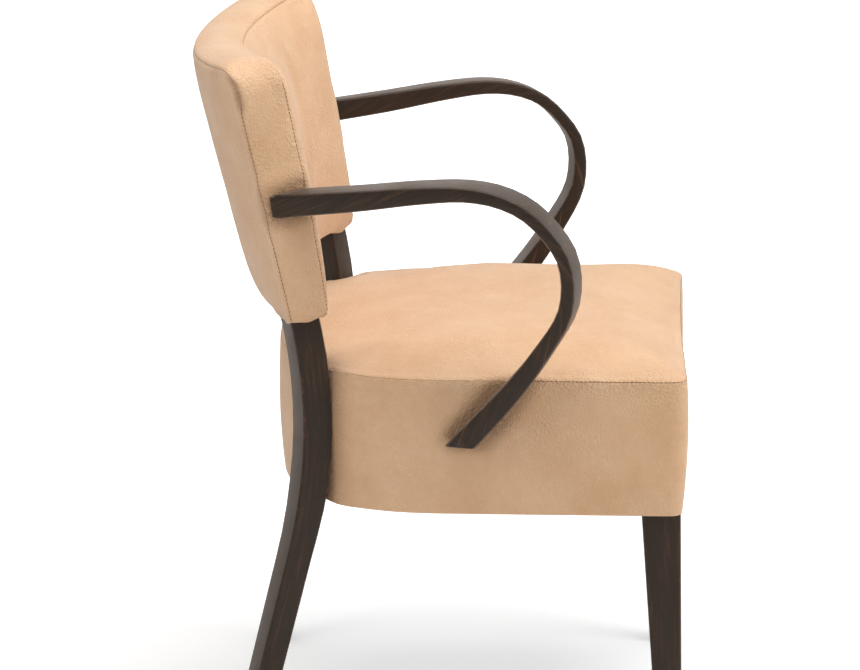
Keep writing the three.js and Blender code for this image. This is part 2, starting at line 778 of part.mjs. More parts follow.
function addCornerBlocks() {
  const bottom = railBottom + blockRise;
  const inside = prism(frameInside(railInside + fit), 0, railTop);
  const x = sideInside + overrun;
  const y = frontInside - overrun;
  const reach = blockReach + overrun;
  const corners = [
    [x - reach, y],
    [x, y],
    [x, y + reach],
    [x - overrun - blockBlunt, y + reach],
    [x - reach, y + overrun + blockBlunt],
  ];
  const outline = corners.map(([u, v]) => new THREE.Vector2(u, v));
  const front = prism(outline, bottom, bottom + blockHeight).intersect(inside);
  pair("front_block", front.subtract(frontBlockScrew(fit)), beechFinish);
  const start = seatWidestAt - rearBlockLength / 2;
  const left = sideInside - rearBlockThickness;
  const block = box(left, x, start, start + rearBlockLength, bottom, bottom + blockHeight);
  pair("rear_block", block.intersect(inside).subtract(rearBlockScrew(fit)), beechFinish);
  pair("front_block_screw", frontBlockScrew(0), steelFinish);
  pair("rear_block_screw", rearBlockScrew(0), steelFinish);
}

function addWebbing() {
  const bottom = railTop + fit;
  for (let i = 0; i < strapCount; i++) {
    const front = frontInside + strapsBehindFront + i * strapPitch - strapWidth / 2;
    const rear = front + strapWidth;
    const half = Math.min(seatHalfWidthAt(front), seatHalfWidthAt(rear)) - strapEndInset;
    const strap = box(-half, half, front, rear, bottom, bottom + strapThickness);
    piece(`webbing_strap_${i + 1}`, strap, clothFinish);
  }
}

function addSeatUpholstery(legs) {
  const holes = both(armBolt(fit).add(legBoltHoles()));
  const shell = seatForm(0, 0).subtract(seatForm(leather, overrun));
  piece("seat_cover", shell.subtract(legs).subtract(holes), leatherFinish);
  const below = box(-wide, wide, -wide, wide, 0, railTop + strapThickness + 2 * fit);
  piece("seat_foam", seatForm(leather + fit, 0).subtract(below).subtract(legs), foamFinish);
  const top = railBottom - fit;
  const sheet = prism(seatOutline(dustCoverInset), top - dustCoverThickness, top);
  piece("dust_cover", sheet.subtract(legs).subtract(both(frontLegForm(fit))), clothFinish);
}

function addBackFrame(legs) {
  const front = backRailDepth + backRailThickness;
  const rail = (bottom) => {
    const body = backBlock(backRailDepth, front, backRailAngle, bottom, bottom + backRailHeight);
    return body.subtract(legs).add(backTenons(bottom, 0));
  };
  piece("back_lower_rail", rail(backRailLow), beechFinish);
  piece("back_top_rail", rail(backRailHigh), beechFinish);
  const rear = front + fit;
  const panelFront = rear + backPanelThickness;
  const half = (rearLegHalfSpread - backPanelInset) / (backRadius - panelFront);
  const reach = THREE.MathUtils.radToDeg(Math.asin(half));
  const panel = backBlock(rear, panelFront, reach, backRailLow, backFrameTop);
  piece("back_panel", panel.subtract(legs), beechFinish);
}

function addBackUpholstery(legs) {
  const screws = both(armScrew(fit));
  const cover = backForm(0, 0).subtract(backForm(leather, overrun));
  piece("back_cover", cover.subtract(screws), leatherFinish);
  const filling = backForm(leather + fit, 0);
  const baseTop = backLevel + backBaseRise + backBaseThickness;
  const below = box(-wide, wide, 0, wide, 0, baseTop + fit);
  const panelFront = backRailDepth + backRailThickness + backPanelThickness + 2 * fit;
  const foamTop = backFrameTop + backFoamAboveRail;
  const frame = backBlock(-overrun, panelFront, 2 * backTopAngle, -wide, foamTop);
  const front = filling.subtract(frame).subtract(below).subtract(legs).subtract(screws);
  piece("back_front_foam", front, foamFinish);
  const sheetFront = backRailDepth - fit;
  const sheet = backBlock(-overrun, sheetFront, backRearFoamAngle, -overrun, foamTop - fit);
  const rear = filling.intersect(sheet).subtract(below).subtract(legs);
  piece("back_rear_foam", rear, foamFinish);
  const strip = backBlock(-overrun, 2 * backThicknessTop, backBaseAngle, -wide, overrun);
  const slab = box(-wide, wide, 0, wide, backLevel + backBaseRise, baseTop);
  piece("back_base", filling.intersect(strip).intersect(slab).subtract(legs), leatherFinish);
}

const clearedLegs = both(rearLegForm(fit));
addLegs();
addArms();
addSeatFrame(clearedLegs);
addCornerBlocks();
addWebbing();
addSeatUpholstery(clearedLegs);
addBackFrame(clearedLegs);
addBackUpholstery(clearedLegs);

// The origin comes under the middle of the bounding box.
const middle = new THREE.Box3().setFromObject(chair).getCenter(new THREE.Vector3());
chair.children.forEach((mesh) => mesh.geometry.translate(0, -middle.y, 0));

export default chair;
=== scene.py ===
"""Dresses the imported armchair: leather cushions, stained wood, stitching, cloth and a plain stage."""

import math
from types import SimpleNamespace

import bmesh
import bpy
import numpy as np
from mathutils import Matrix, Vector
from mathutils.bvhtree import BVHTree
from mathutils.kdtree import KDTree
from mathutils.noise import noise


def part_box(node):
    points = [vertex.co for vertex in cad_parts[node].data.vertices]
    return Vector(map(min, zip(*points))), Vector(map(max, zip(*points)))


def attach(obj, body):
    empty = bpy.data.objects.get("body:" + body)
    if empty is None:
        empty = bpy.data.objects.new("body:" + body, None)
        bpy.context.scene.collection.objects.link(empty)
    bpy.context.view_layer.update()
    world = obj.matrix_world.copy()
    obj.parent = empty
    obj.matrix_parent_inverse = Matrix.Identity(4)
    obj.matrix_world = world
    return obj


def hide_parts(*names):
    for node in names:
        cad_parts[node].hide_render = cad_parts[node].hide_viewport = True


bl_info = {
    "name": "Armchair Looks",
    "version": (1, 0, 0),
    "blender": (4, 5, 0),
    "location": "3D View > Sidebar > Armchair",
    "description": "Dresses the packed armchair in leather, stained wood and cloth",
    "category": "Object",
}

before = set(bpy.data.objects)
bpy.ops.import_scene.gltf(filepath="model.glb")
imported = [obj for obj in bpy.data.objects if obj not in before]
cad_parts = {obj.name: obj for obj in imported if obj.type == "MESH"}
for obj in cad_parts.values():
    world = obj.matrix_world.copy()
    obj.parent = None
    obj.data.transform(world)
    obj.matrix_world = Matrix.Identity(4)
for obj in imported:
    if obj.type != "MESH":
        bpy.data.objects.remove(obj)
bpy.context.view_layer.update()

# The chair's own sizes, in metres, as the CAD source has them. Y is counted from the arms' middle.
FOOT_AHEAD = 0.2714
SHIFT = sum(c.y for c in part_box("front_glide_left")) / 2 + FOOT_AHEAD
SEAM_HEIGHT = 0.455
BOXING = 0.151
SEAT_HALF_WIDTH = 0.244
SEAT_WIDEST_AT = -0.030
SEAT_REAR_DEPTH = 0.200
SEAT_FRONT_LENGTH = 0.2535
SEAT_SIDE_TAPER = 0.0015
SEAT_FRONT_DIP = 0.0035
SEAT_CORNER = 0.017
SEAT_ROUNDNESS = 2.6
SEAT_DRAW_IN = 0.0035
SEAT_BULGE = 0.003
SEAT_HALF_DEPTH = (SEAT_REAR_DEPTH + SEAT_FRONT_LENGTH) / 2
SEAT_MIDDLE = SEAT_WIDEST_AT + SEAT_REAR_DEPTH - SEAT_HALF_DEPTH
SEAT_REAR_CORNER = 0.80
SEAT_GRID = (80, 80, 30)
SEAT_RING_SPACING = 1.35
CROWN_FLATNESS = 6
CROWN_REAR_LOSS = 0.9
# Points of half the seat's outline: its rear, its side, its corner and its front edge.
REAR_POINTS = 240
SIDE_POINTS = 60
CORNER_POINTS = 24
EDGE_POINTS = 40

BACK_RAKE = math.radians(14.2)
BACK_LEVEL = 0.516
BACK_BEHIND = 0.19839
BACK_RADIUS = 0.52807
BACK_HEIGHT = 0.2596
BACK_REAR_RISE = 0.0085
BACK_THICKNESS = (0.046, 0.055)
BACK_ANGLES = (math.radians(26.4), math.radians(28.3))
BACK_TUCK = 0.005
BACK_TOP_CROWN = 0.009
BACK_TOP_CORNER = 0.026
BACK_SIDE_BULGE = 0.0035
BACK_TOP_FADE = 0.03
BACK_GRID = (90, 14, 56)
BACK_SPACING = 1.5
BACK_TUCK_POWER = 5
# How flat the back's swells stay in their middles, upward and sideways, and how the crown grows upward.
CROWN_POWER = 8
CROWN_SIDE_POWER = 30
CROWN_LOW = 0.55
CROWN_GAIN = 0.45
REAR_POWER = 10
REAR_SIDE_POWER = 14
ARCH_POWER = 0.8

LEG_TURN = math.radians(25.5)
LEG_SPREAD = 0.2015
LEG_TOP = 0.775
LEG_STEPS = 120
LEG_BEND_HEIGHT = 0.3968
LEG_BEND_BEHIND = 0.10551
LEG_BEND_REACH = 0.134
LEG_TOP_ANGLE = math.radians(14.2)
LEG_FOOT_ANGLE = math.radians(13.8)
LEG_SPLAY = math.radians(8)
LEG_WIDE = 0.034
LEG_THICK = 0.033
FRONT_LEG_TOP_SIZE = 0.0425
FRONT_LEG_TAPER = 0.0175
FRONT_LEG_SET_IN = 0.0085
FRONT_LEG_SET_BACK = 0.0051
FRONT_LEG_LEAN = 0.0055
FRONT_LEG_STEPS = 40

ARM_REACH = 0.162
ARM_RISE = 0.216
ARM_SIDE = 0.2499
ARM_LEVEL = 0.5208
ARM_SPLAY = math.radians(13.5)
ARM_LEAN = math.radians(3.85)
# Points of the arm's curve from its back end to its lower end, as shares of its reach and its rise.
ARM_CURVE = (
    (-1.03, 0.868),
    (-0.936, 0.881),
    (-0.3975, 0.933),
    (0.026, 0.98),
    (0.327, 0.9986),
    (0.5426, 0.978),
    (0.722, 0.921),
    (0.859, 0.8296),
    (0.988, 0.681),
    (0.994, 0.4407),
    (0.812, 0.193),
    (0.6235, -0.002),
    (0.3877, -0.2074),
    (0.13, -0.43),
)
ARM_THICK = (0.026, 0.0224, 0.0164, 0.0132, 0.0165, 0.0225, 0.0265)
ARM_WIDE = (0.024, 0.031, 0.0366, 0.038, 0.038, 0.038, 0.038)
ARM_STEPS = 16

# The leather's own forms: where wood presses on it, how it creases, and where it is sewn.
ON_FACE = 0.999
PRESS_NEAR = 0.006
PRESS_MARK = 0.7
RING_FROM = (0.004, 0.016)
RING_TO = 0.018
PUFF_FRAMES = 20
# Slight waves of the leather: each has a size, a seed and a height.
SEAT_WAVES = ((0.07, 1, 0.0006), (0.024, 2, 0.00025))
BACK_WAVES = ((0.08, 3, 0.0007), (0.026, 4, 0.0003))
SEAM_REACH = 0.05
GROOVE_WIDTH = 0.0016
LIP_HEIGHT = 0.0008
LIP_AT = 0.005
LIP_WIDTH = 0.0028
ARM_PRESS_REACH = 0.03
ARM_PRESS_RING = 0.0012
LEG_PRESS_REACH = 0.05
LEG_PRESS_RING = 0.0010
CREASE_FROM = (0.738, 0.762)
CREASE_TO = (0.776, 0.788)
CREASE_SIDE = 0.8
CREASE_WIDTH = 0.0045
CREASE_DEPTH = 0.0038
CREASE_MARK = 1.8
GATHER_FROM = (0.80, 0.97)
GATHER_WIDTH = 0.022
GATHER_DEPTH = 0.0045
GATHER_SIZE = 0.011
GATHER_STRETCH = (1, 1, 0.35)
GATHER_MARK = 0.3
SLEEVE_NEAR = (0.002, 0.02)
SLEEVE_RISE = 0.012
SLEEVE_DROP = 0.0046
SLEEVE_WAVE = 0.0042
SLEEVE_WAVE_SIZE = 0.014
SLEEVE_MARK = 0.6
LOWEST = 0.0005
LOWER_CORNER = 0.007
LOWER_CORNER_REACH = 0.012
STITCHED_TO = (0.776, 0.755)
STITCHED_FROM = 0.102
STITCH_LIFT = 0.0006
BACK_SEAMS = (
    "back_front_seam_right",
    "back_front_seam_left",
    "back_rear_seam_right",
    "back_rear_seam_left",
)

# The lining and the webbing.
LINING_THICKNESS = 0.0006
LINING_EDGE = 0.014
LINING_CUTS = 5
LINING_FLAT = 0.02
LINING_LIFT = 0.0008
LINING_SAG = 0.0028
LINING_SAG_OVER = (0.006, 0.12)
LINING_WAVE = 0.0004
LINING_WAVE_SIZE = 0.05
THREADS = 800.0
STRAP_COUNT = 6
STRAP_THICKNESS = 0.0016
STRAP_WAVE = 0.0003
STRAP_WAVES = 40

# The grain's lean against the piece, and how strong its lines are at the piece's two ends.
ARM_GRAIN = (0.36, (0.06, 0.95))
REAR_LEG_GRAIN = (0.03, (0.15, 0.1))
FRONT_LEG_GRAIN = (0.02, (0.15, 0.1))
SHARP_ANGLE = math.radians(60)

# A cosine that counts as along an axis, a distance that counts as none, and a divisor's least value.
MOSTLY = 0.9
SAME_PLACE = 0.00001
TINY = 1e-9

# The stage.
FLOOR_HALF = 12
FLOOR_GLOW = (0.36, 1.0)
FLOOR_GLOW_OVER = (0.5, 2.2)
SOFT_LIGHT = 0.42
LAMP_AIM = (0, 0, 0.5)
# Each lamp's name, place, diameter and power, and whether gloss shows it.
LAMPS = (
    ("overhead", (-0.2, -0.3, 2.9), 2.6, 56, True),
    ("left", (-1.8, 2.8, 1.6), 1.8, 19, False),
    ("front", (-0.8, -2.9, 1.7), 2.0, 35, False),
)
CAMERA_AT = (-4.51571, SHIFT - 0.20037, 1.66713)
CAMERA_RIGHT = (0.04515, -0.99898, 0)
CAMERA_UP = (0.26192, 0.01184, 0.96502)
CAMERA_BACK = (-0.96403, -0.04357, 0.26219)
CAMERA_LENS = 173.53
CAMERA_SENSOR = 36
CAMERA_CLIP = 60

# Fixed finishes and colours.
WHITE = (1, 1, 1, 1)
# Painted shade of the leather beside the wood, in its creases and gathers, and where it is drawn over the
# legs.
LEATHER_PAINTED_SHADE = (0.37, 0.205, 0.112, 1)
# Painted shade in the hollows of the leather's grain.
LEATHER_PAINTED_HOLLOW_SHADE = (0.36, 0.19, 0.095, 1)
LEATHER_AT_SEAM = (0.27, 0.14, 0.07, 1)
STAIN_LINE = (0.15, 0.068, 0.042, 1)
STAIN_PORE = (0.010, 0.008, 0.007, 1)
STAIN_WORN = (0.16, 0.075, 0.045, 1)
STEEL_DULL = (0.42, 0.42, 0.43, 1)
STEEL_BRIGHT = (0.66, 0.66, 0.65, 1)
NYLON = (0.02, 0.02, 0.02, 1)
NYLON_SCUFFED = (0.06, 0.058, 0.055, 1)
LEATHER_FINISH = {"Sheen Weight": 0.28, "Sheen Roughness": 0.4, "Specular IOR Level": 0.4}
STAIN_FINISH = {
    "Specular IOR Level": 0.34,
    "Specular Tint": (1, 0.86, 0.74, 1),
    "Sheen Weight": 0.22,
    "Sheen Tint": (1, 0.78, 0.64, 1),
}


def nodes_with(*words):
    """Names of the CAD nodes that hold one of the words."""
    return [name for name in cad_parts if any(word in name for word in words)]


STEEL_NODES = nodes_with("screw", "bolt", "stud")
GLIDE_NODES = nodes_with("glide")
BEECH_NODES = nodes_with("rail", "block_l", "block_r", "back_panel")


def length_property(name, description, default):
    return bpy.props.FloatProperty(name=name, description=description, default=default, unit="LENGTH")


class ArmchairSizes(bpy.types.PropertyGroup):
    """Sizes of the soft parts and of the sewing."""

    seat_crown: length_property("Seat crown", "How high the seat swells above its seam", 0.027)
    back_crown: length_property("Back crown", "How far the front of the back swells past its seam", 0.018)
    rear_bulge: length_property("Rear bulge", "How far the rear of the back swells", 0.005)
    puff: length_property("Puff", "How far the stuffing may push the leather out", 0.004)
    groove: length_property("Seam groove", "Depth of the leather at a seam", 0.0008)
    press: length_property("Press", "Depth of the leather where wood presses on it", 0.0026)
    stitch_pitch: length_property("Stitch pitch", "Distance from stitch to stitch", 0.0045)
    stitch_length: length_property("Stitch length", "Visible length of a stitch", 0.003)
    stitch_width: length_property("Thread width", "Thickness of the thread", 0.0007)


def colour_property(name, description, default):
    return bpy.props.FloatVectorProperty(
        name=name, description=description, default=default, size=4, min=0, max=1, subtype="COLOR"
    )


class ArmchairColours(bpy.types.PropertyGroup):
    """Colours of the materials."""

    leather: colour_property("Leather", "Main colour of the leather", (0.685, 0.415, 0.232, 1))
    leather_pale: colour_property("Pale leather", "Colour of its paler clouds", (0.75, 0.485, 0.29, 1))
    thread: colour_property("Thread", "Colour of the stitching", (0.16, 0.075, 0.04, 1))
    stain: colour_property("Stain", "Main colour of the stained wood", (0.021, 0.0135, 0.009, 1))
    stain_streak: colour_property("Stain streaks", "Colour of its redder streaks", (0.105, 0.046, 0.028, 1))
    beech: colour_property("Beech", "Colour of the bare frame wood", (0.55, 0.36, 0.20, 1))
    lining: colour_property("Lining", "Colour of the lining and the webbing", (0.045, 0.043, 0.042, 1))
    floor: colour_property("Floor", "Colour of the floor", (0.86, 0.86, 0.86, 1))


def sizes():
    return bpy.context.scene.armchair_sizes


def colours():
    return bpy.context.scene.armchair_colours


# Curves and outlines


def smooth_step(low, high, value):
    share = np.clip((value - low) / (high - low), 0, 1)
    return share * share * (3 - 2 * share)


def bell(distance, width):
    """1 at no distance, falling off smoothly over the width."""
    return np.exp(-((distance / width) ** 2))


def length_along(line):
    """Length along a line of points, up to each point."""
    return np.concatenate([[0], np.cumsum(np.linalg.norm(np.diff(line, axis=0), axis=1))])


def seat_outline():
    """Seam of the seat as points, from the rear middle over the chair's right side and round."""
    power = 2 / SEAT_ROUNDNESS
    angle = np.linspace(0, math.pi / 2, REAR_POINTS)
    across = -SEAT_HALF_WIDTH * np.sin(angle) ** power
    behind = SEAT_WIDEST_AT + SEAT_REAR_DEPTH * np.cos(angle).clip(0) ** power
    rear = np.stack([across, behind], 1)
    front = SEAT_WIDEST_AT - SEAT_FRONT_LENGTH
    y = np.linspace(SEAT_WIDEST_AT, front + SEAT_CORNER, SIDE_POINTS)[1:]
    taper = SEAT_SIDE_TAPER * ((SEAT_WIDEST_AT - y) / SEAT_FRONT_LENGTH) ** 2
    side = np.stack([taper - SEAT_HALF_WIDTH, y], 1)
    turn = np.linspace(0, math.pi / 2, CORNER_POINTS)[1:]
    corner = side[-1] + SEAT_CORNER * np.stack([1 - np.cos(turn), -np.sin(turn)], 1)
    share = np.linspace(1, 0, EDGE_POINTS)[1:]
    edge = np.stack([corner[-1, 0] * share, corner[-1, 1] + SEAT_FRONT_DIP * (1 - share**2)], 1)
    half = np.vstack([rear, side, corner, edge])
    other = half[1:-1][::-1] * (-1, 1)
    return np.vstack([half, other, half[:1]])


class Outline:
    """Closed outline that is read by its length from the rear middle."""

    def __init__(self, points):
        self.along = length_along(points)
        self.length = self.along[-1]
        self.points = points
        ahead = np.roll(points[:-1], -1, 0) - np.roll(points[:-1], 1, 0)
        ahead /= np.linalg.norm(ahead, axis=1)[:, None]
        normals = np.stack([ahead[:, 1], -ahead[:, 0]], 1)
        self.normals = np.vstack([normals, normals[:1]])

    def read(self, values, length):
        length = np.mod(length, self.length)
        return np.stack([np.interp(length, self.along, values[:, i]) for i in range(2)], 1)


def between(low, high, first, second, t):
    """Point at t on the line that meets the first point at low and the second at high."""
    return ((high - t) * first + (t - low) * second) / (high - low)


def centripetal(points, steps):
    """Smooth curve through points, drawn as the CAD source draws the arms."""
    all_points = np.vstack([2 * points[0] - points[1], points, 2 * points[-1] - points[-2]])
    drawn = []
    for i in range(1, len(all_points) - 2):
        four = all_points[i - 1 : i + 3]
        knots = np.concatenate([[0], np.cumsum(np.linalg.norm(np.diff(four, axis=0), axis=1) ** 0.5)])
        for t in np.linspace(knots[1], knots[2], steps, endpoint=False):
            three = [between(knots[j], knots[j + 1], four[j], four[j + 1], t) for j in range(3)]
            two = [between(knots[j], knots[j + 2], three[j], three[j + 1], t) for j in range(2)]
            drawn.append(between(knots[1], knots[2], *two, t))
    drawn.append(points[-1])
    return np.array(drawn)


def arm_line():
    """Middle line of the left arm, its outward direction and its section sizes."""
    sin_lean, cos_lean = math.sin(ARM_LEAN), math.cos(ARM_LEAN)
    sin_splay, cos_splay = math.sin(ARM_SPLAY), math.cos(ARM_SPLAY)
    ahead = np.array([sin_splay, -cos_splay, 0])
    up = np.array([sin_lean * cos_splay, sin_lean * sin_splay, cos_lean])
    out = np.cross(up, ahead)
    start = np.array([ARM_SIDE, SHIFT, ARM_LEVEL])
    reach, height = np.array(ARM_CURVE).T
    rise = SEAM_HEIGHT + ARM_RISE * height - ARM_LEVEL
    line = centripetal(start + np.outer(ARM_REACH * reach, ahead) + np.outer(rise, up), ARM_STEPS)
    along = length_along(line)
    stations = np.linspace(0, along[-1], len(ARM_THICK))
    wide = np.interp(along, stations, ARM_WIDE)
    shifted = line + np.outer((ARM_WIDE[-1] - wide) / 2, out)
    return shifted, out / np.linalg.norm(out), wide, np.interp(along, stations, ARM_THICK)


def rear_leg_line():
    """Middle line of the left rear leg, its outward direction and its section sizes."""
    z = np.linspace(0, LEG_TOP, LEG_STEPS)
    up, down = math.tan(LEG_TOP_ANGLE), math.tan(LEG_FOOT_ANGLE)
    rise = z - LEG_BEND_HEIGHT
    share = (rise + LEG_BEND_REACH) / (2 * LEG_BEND_REACH)
    ease = LEG_BEND_REACH * ((1 - share) ** 2 * down + share**2 * up)
    spread = np.where(rise > LEG_BEND_REACH, rise * up, np.where(rise < -LEG_BEND_REACH, -rise * down, ease))
    middle = np.interp(LEG_BEND_HEIGHT, z, spread)
    x = LEG_SPREAD + math.tan(LEG_SPLAY) * (spread - middle)
    line = np.stack([x, LEG_BEND_BEHIND + spread + SHIFT, z], 1)
    out = np.array([math.cos(LEG_TURN), -math.sin(LEG_TURN), 0])
    return line, out, np.full(len(z), LEG_WIDE), np.full(len(z), LEG_THICK)


def front_leg_line():
    """Middle line of the left front leg, its outward direction and its section sizes."""
    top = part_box("front_leg_left")[1].z
    z = np.linspace(0, top, FRONT_LEG_STEPS)
    share = (top - z) / top
    size = FRONT_LEG_TOP_SIZE - FRONT_LEG_TAPER * share
    side = SEAT_HALF_WIDTH - FRONT_LEG_SET_IN
    front = SEAT_WIDEST_AT - SEAT_FRONT_LENGTH + FRONT_LEG_SET_BACK + SHIFT
    lean = FRONT_LEG_LEAN * share
    line = np.stack([side + lean - size / 2, front - lean + size / 2, z], 1)
    return line, np.array([1.0, 0, 0]), size, size


# Meshes


def box_grid(across, through, up):
    """Cube from -1 to 1 whose faces are cut into a grid."""
    mesh = bmesh.new()
    bmesh.ops.create_cube(mesh, size=2)
    for axis, parts in enumerate((across, through, up)):
        along = [
            e for e in mesh.edges if abs((e.verts[1].co - e.verts[0].co).normalized()[axis]) > MOSTLY
        ]
        bmesh.ops.subdivide_edges(mesh, edges=along, cuts=parts - 1, use_grid_fill=True)
    return mesh


def node_mesh(node):
    """Copy of a CAD node's mesh with its corners merged."""
    mesh = bmesh.new()
    mesh.from_mesh(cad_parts[node].data)
    bmesh.ops.remove_doubles(mesh, verts=mesh.verts, dist=SAME_PLACE)
    return mesh


def coordinates(mesh):
    return np.array([v.co for v in mesh.verts])


def place(mesh, points):
    for vertex, point in zip(mesh.verts, points):
        vertex.co = point


def normals_of(mesh):
    mesh.normal_update()
    return np.array([v.normal for v in mesh.verts])


def turn_outward(mesh):
    """Makes all the faces of a closed mesh face outward."""
    if mesh.calc_volume(signed=True) < 0:
        bmesh.ops.reverse_faces(mesh, faces=mesh.faces)


def shift_out(mesh, amount):
    """Moves the vertices along their normals."""
    place(mesh, coordinates(mesh) + normals_of(mesh) * np.asarray(amount)[:, None])


def search_tree(points):
    tree = KDTree(len(points))
    for i, point in enumerate(points):
        tree.insert(point, i)
    tree.balance()
    return tree


def distances(points, targets):
    """Distance from each point to the nearest of the target points."""
    tree = search_tree(targets)
    return np.array([tree.find(p)[2] for p in points])


def node_tree(*names):
    """Search tree over the surfaces of CAD nodes."""
    vertices, faces = [], []
    for name in names:
        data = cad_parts[name].data
        start = len(vertices)
        vertices += [v.co.copy() for v in data.vertices]
        faces += [[start + i for i in p.vertices] for p in data.polygons]
    return BVHTree.FromPolygons(vertices, faces)


def near_surface(points, tree, reach):
    """Distance from each point to a surface, at most the reach."""
    found = (tree.find_nearest(Vector(p), reach) for p in points)
    return np.array([reach if hit[3] is None else hit[3] for hit in found])


def wander(points, scale, seed):
    """Smooth random field between about -1 and 1."""
    offset = Vector((seed * 7.3, seed * 3.1, seed * 5.7))
    return np.array([noise(Vector(p) / scale + offset) for p in points])


def add_object(name, data):
    made = bpy.data.objects.new(name, data)
    bpy.context.scene.collection.objects.link(made)
    return made


def finished(mesh, name, material):
    """Turns a bmesh into a smooth object that rides on the chair's body."""
    data = bpy.data.meshes.new(name)
    mesh.to_mesh(data)
    mesh.free()
    data.polygons.foreach_set("use_smooth", [True] * len(data.polygons))
    data.materials.append(material)
    made = add_object(name, data)
    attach(made, "root")
    return made


def add_field(piece, name, values):
    """Stores one number for each vertex."""
    layer = piece.data.attributes.new(name, "FLOAT", "POINT")
    layer.data.foreach_set("value", np.asarray(values, np.float32))


def add_vectors(piece, name, values):
    """Stores one vector for each vertex."""
    layer = piece.data.attributes.new(name, "FLOAT_VECTOR", "POINT")
    layer.data.foreach_set("vector", np.asarray(values, np.float32).ravel())


def add_subdivision(piece, levels):
    made = piece.modifiers.new("Subdivision", "SUBSURF")
    made.levels = levels
    made.render_levels = levels


def add_wall(piece, thickness):
    """Gives a sheet its thickness, half to each side."""
    made = piece.modifiers.new("Solidify", "SOLIDIFY")
    made.thickness = thickness
    made.offset = 0


def puff_up(mesh, held, limit):
    """Lets the stuffing push the leather out with a short cloth simulation, and caps the movement."""
    start = coordinates(mesh)
    data = bpy.data.meshes.new("puff")
    mesh.to_mesh(data)
    dummy = add_object("puff", data)
    group = dummy.vertex_groups.new(name="held")
    for index, weight in enumerate(held):
        if weight > 0:
            group.add([index], float(weight), "REPLACE")
    cloth = dummy.modifiers.new("Cloth", "CLOTH")
    cloth.settings.quality = 5
    cloth.settings.mass = 0.4
    cloth.settings.tension_stiffness = 20
    cloth.settings.compression_stiffness = 20
    cloth.settings.bending_stiffness = 4
    cloth.settings.use_pressure = True
    cloth.settings.uniform_pressure_force = 4
    cloth.settings.vertex_group_mass = "held"
    cloth.settings.effector_weights.gravity = 0
    cloth.point_cache.frame_start = 1
    cloth.point_cache.frame_end = PUFF_FRAMES
    scene = bpy.context.scene
    for number in range(1, PUFF_FRAMES + 1):
        scene.frame_set(number)
    shaped = dummy.evaluated_get(bpy.context.evaluated_depsgraph_get())
    after = np.array([v.co for v in shaped.data.vertices])
    bpy.data.objects.remove(dummy)
    scene.frame_set(1)
    moved = after - start
    size = np.linalg.norm(moved, axis=1)
    scale = limit * np.tanh(size / limit) / np.maximum(size, TINY)
    place(mesh, start + moved * scale[:, None])


# Node helpers


class Nodes:
    """Small wrapper that adds nodes to a tree and links their sockets."""

    def __init__(self, tree):
        self.tree = tree

    def link(self, source, node, name):
        self.tree.links.new(source, node.inputs[name])

    def feed(self, node, name, value):
        """Links a socket, or sets a constant."""
        if isinstance(value, bpy.types.NodeSocket):
            self.link(value, node, name)
        else:
            node.inputs[name].default_value = value

    def add(self, kind, inputs=None, **settings):
        node = self.tree.nodes.new(kind)
        for name, value in settings.items():
            setattr(node, name, value)
        for name, value in (inputs or {}).items():
            self.feed(node, name, value)
        return node

    def math(self, operation, *values):
        return self.add("ShaderNodeMath", dict(enumerate(values)), operation=operation).outputs[0]

    def vector_math(self, operation, *values):
        return self.add("ShaderNodeVectorMath", dict(enumerate(values)), operation=operation).outputs[0]

    def noise(self, vector, scale, detail=2.0, roughness=0.5):
        inputs = {"Vector": vector, "Scale": scale, "Detail": detail, "Roughness": roughness}
        return self.add("ShaderNodeTexNoise", inputs).outputs["Fac"]

    def ramp(self, value, low, high, to_low=0.0, to_high=1.0):
        inputs = {"Value": value, "From Min": low, "From Max": high, "To Min": to_low, "To Max": to_high}
        return self.add("ShaderNodeMapRange", inputs).outputs["Result"]

    def mix(self, factor, first, second):
        inputs = {0: factor, 6: first, 7: second}
        return self.add("ShaderNodeMix", inputs, data_type="RGBA").outputs[2]

    def field(self, name, output="Fac"):
        return self.add("ShaderNodeAttribute", attribute_name=name).outputs[output]

    def place(self):
        return self.add("ShaderNodeTexCoord").outputs["Object"]


def new_group(name, inputs, outputs):
    """Empty shader group with named sockets."""
    tree = bpy.data.node_groups.new(name, "ShaderNodeTree")
    for label, kind, value in inputs:
        socket = tree.interface.new_socket(name=label, in_out="INPUT", socket_type=kind)
        if value is not None:
            socket.default_value = value
    for label, kind in outputs:
        tree.interface.new_socket(name=label, in_out="OUTPUT", socket_type=kind)
    return Nodes(tree), tree.nodes.new("NodeGroupInput"), tree.nodes.new("NodeGroupOutput")


def put_out(nodes, out, *sockets):
    """Links sockets to a group's outputs, in order, and returns the group."""
    for index, socket in enumerate(sockets):
        nodes.link(socket, out, index)
    return nodes.tree


FLOAT, VECTOR = "NodeSocketFloat", "NodeSocketVector"


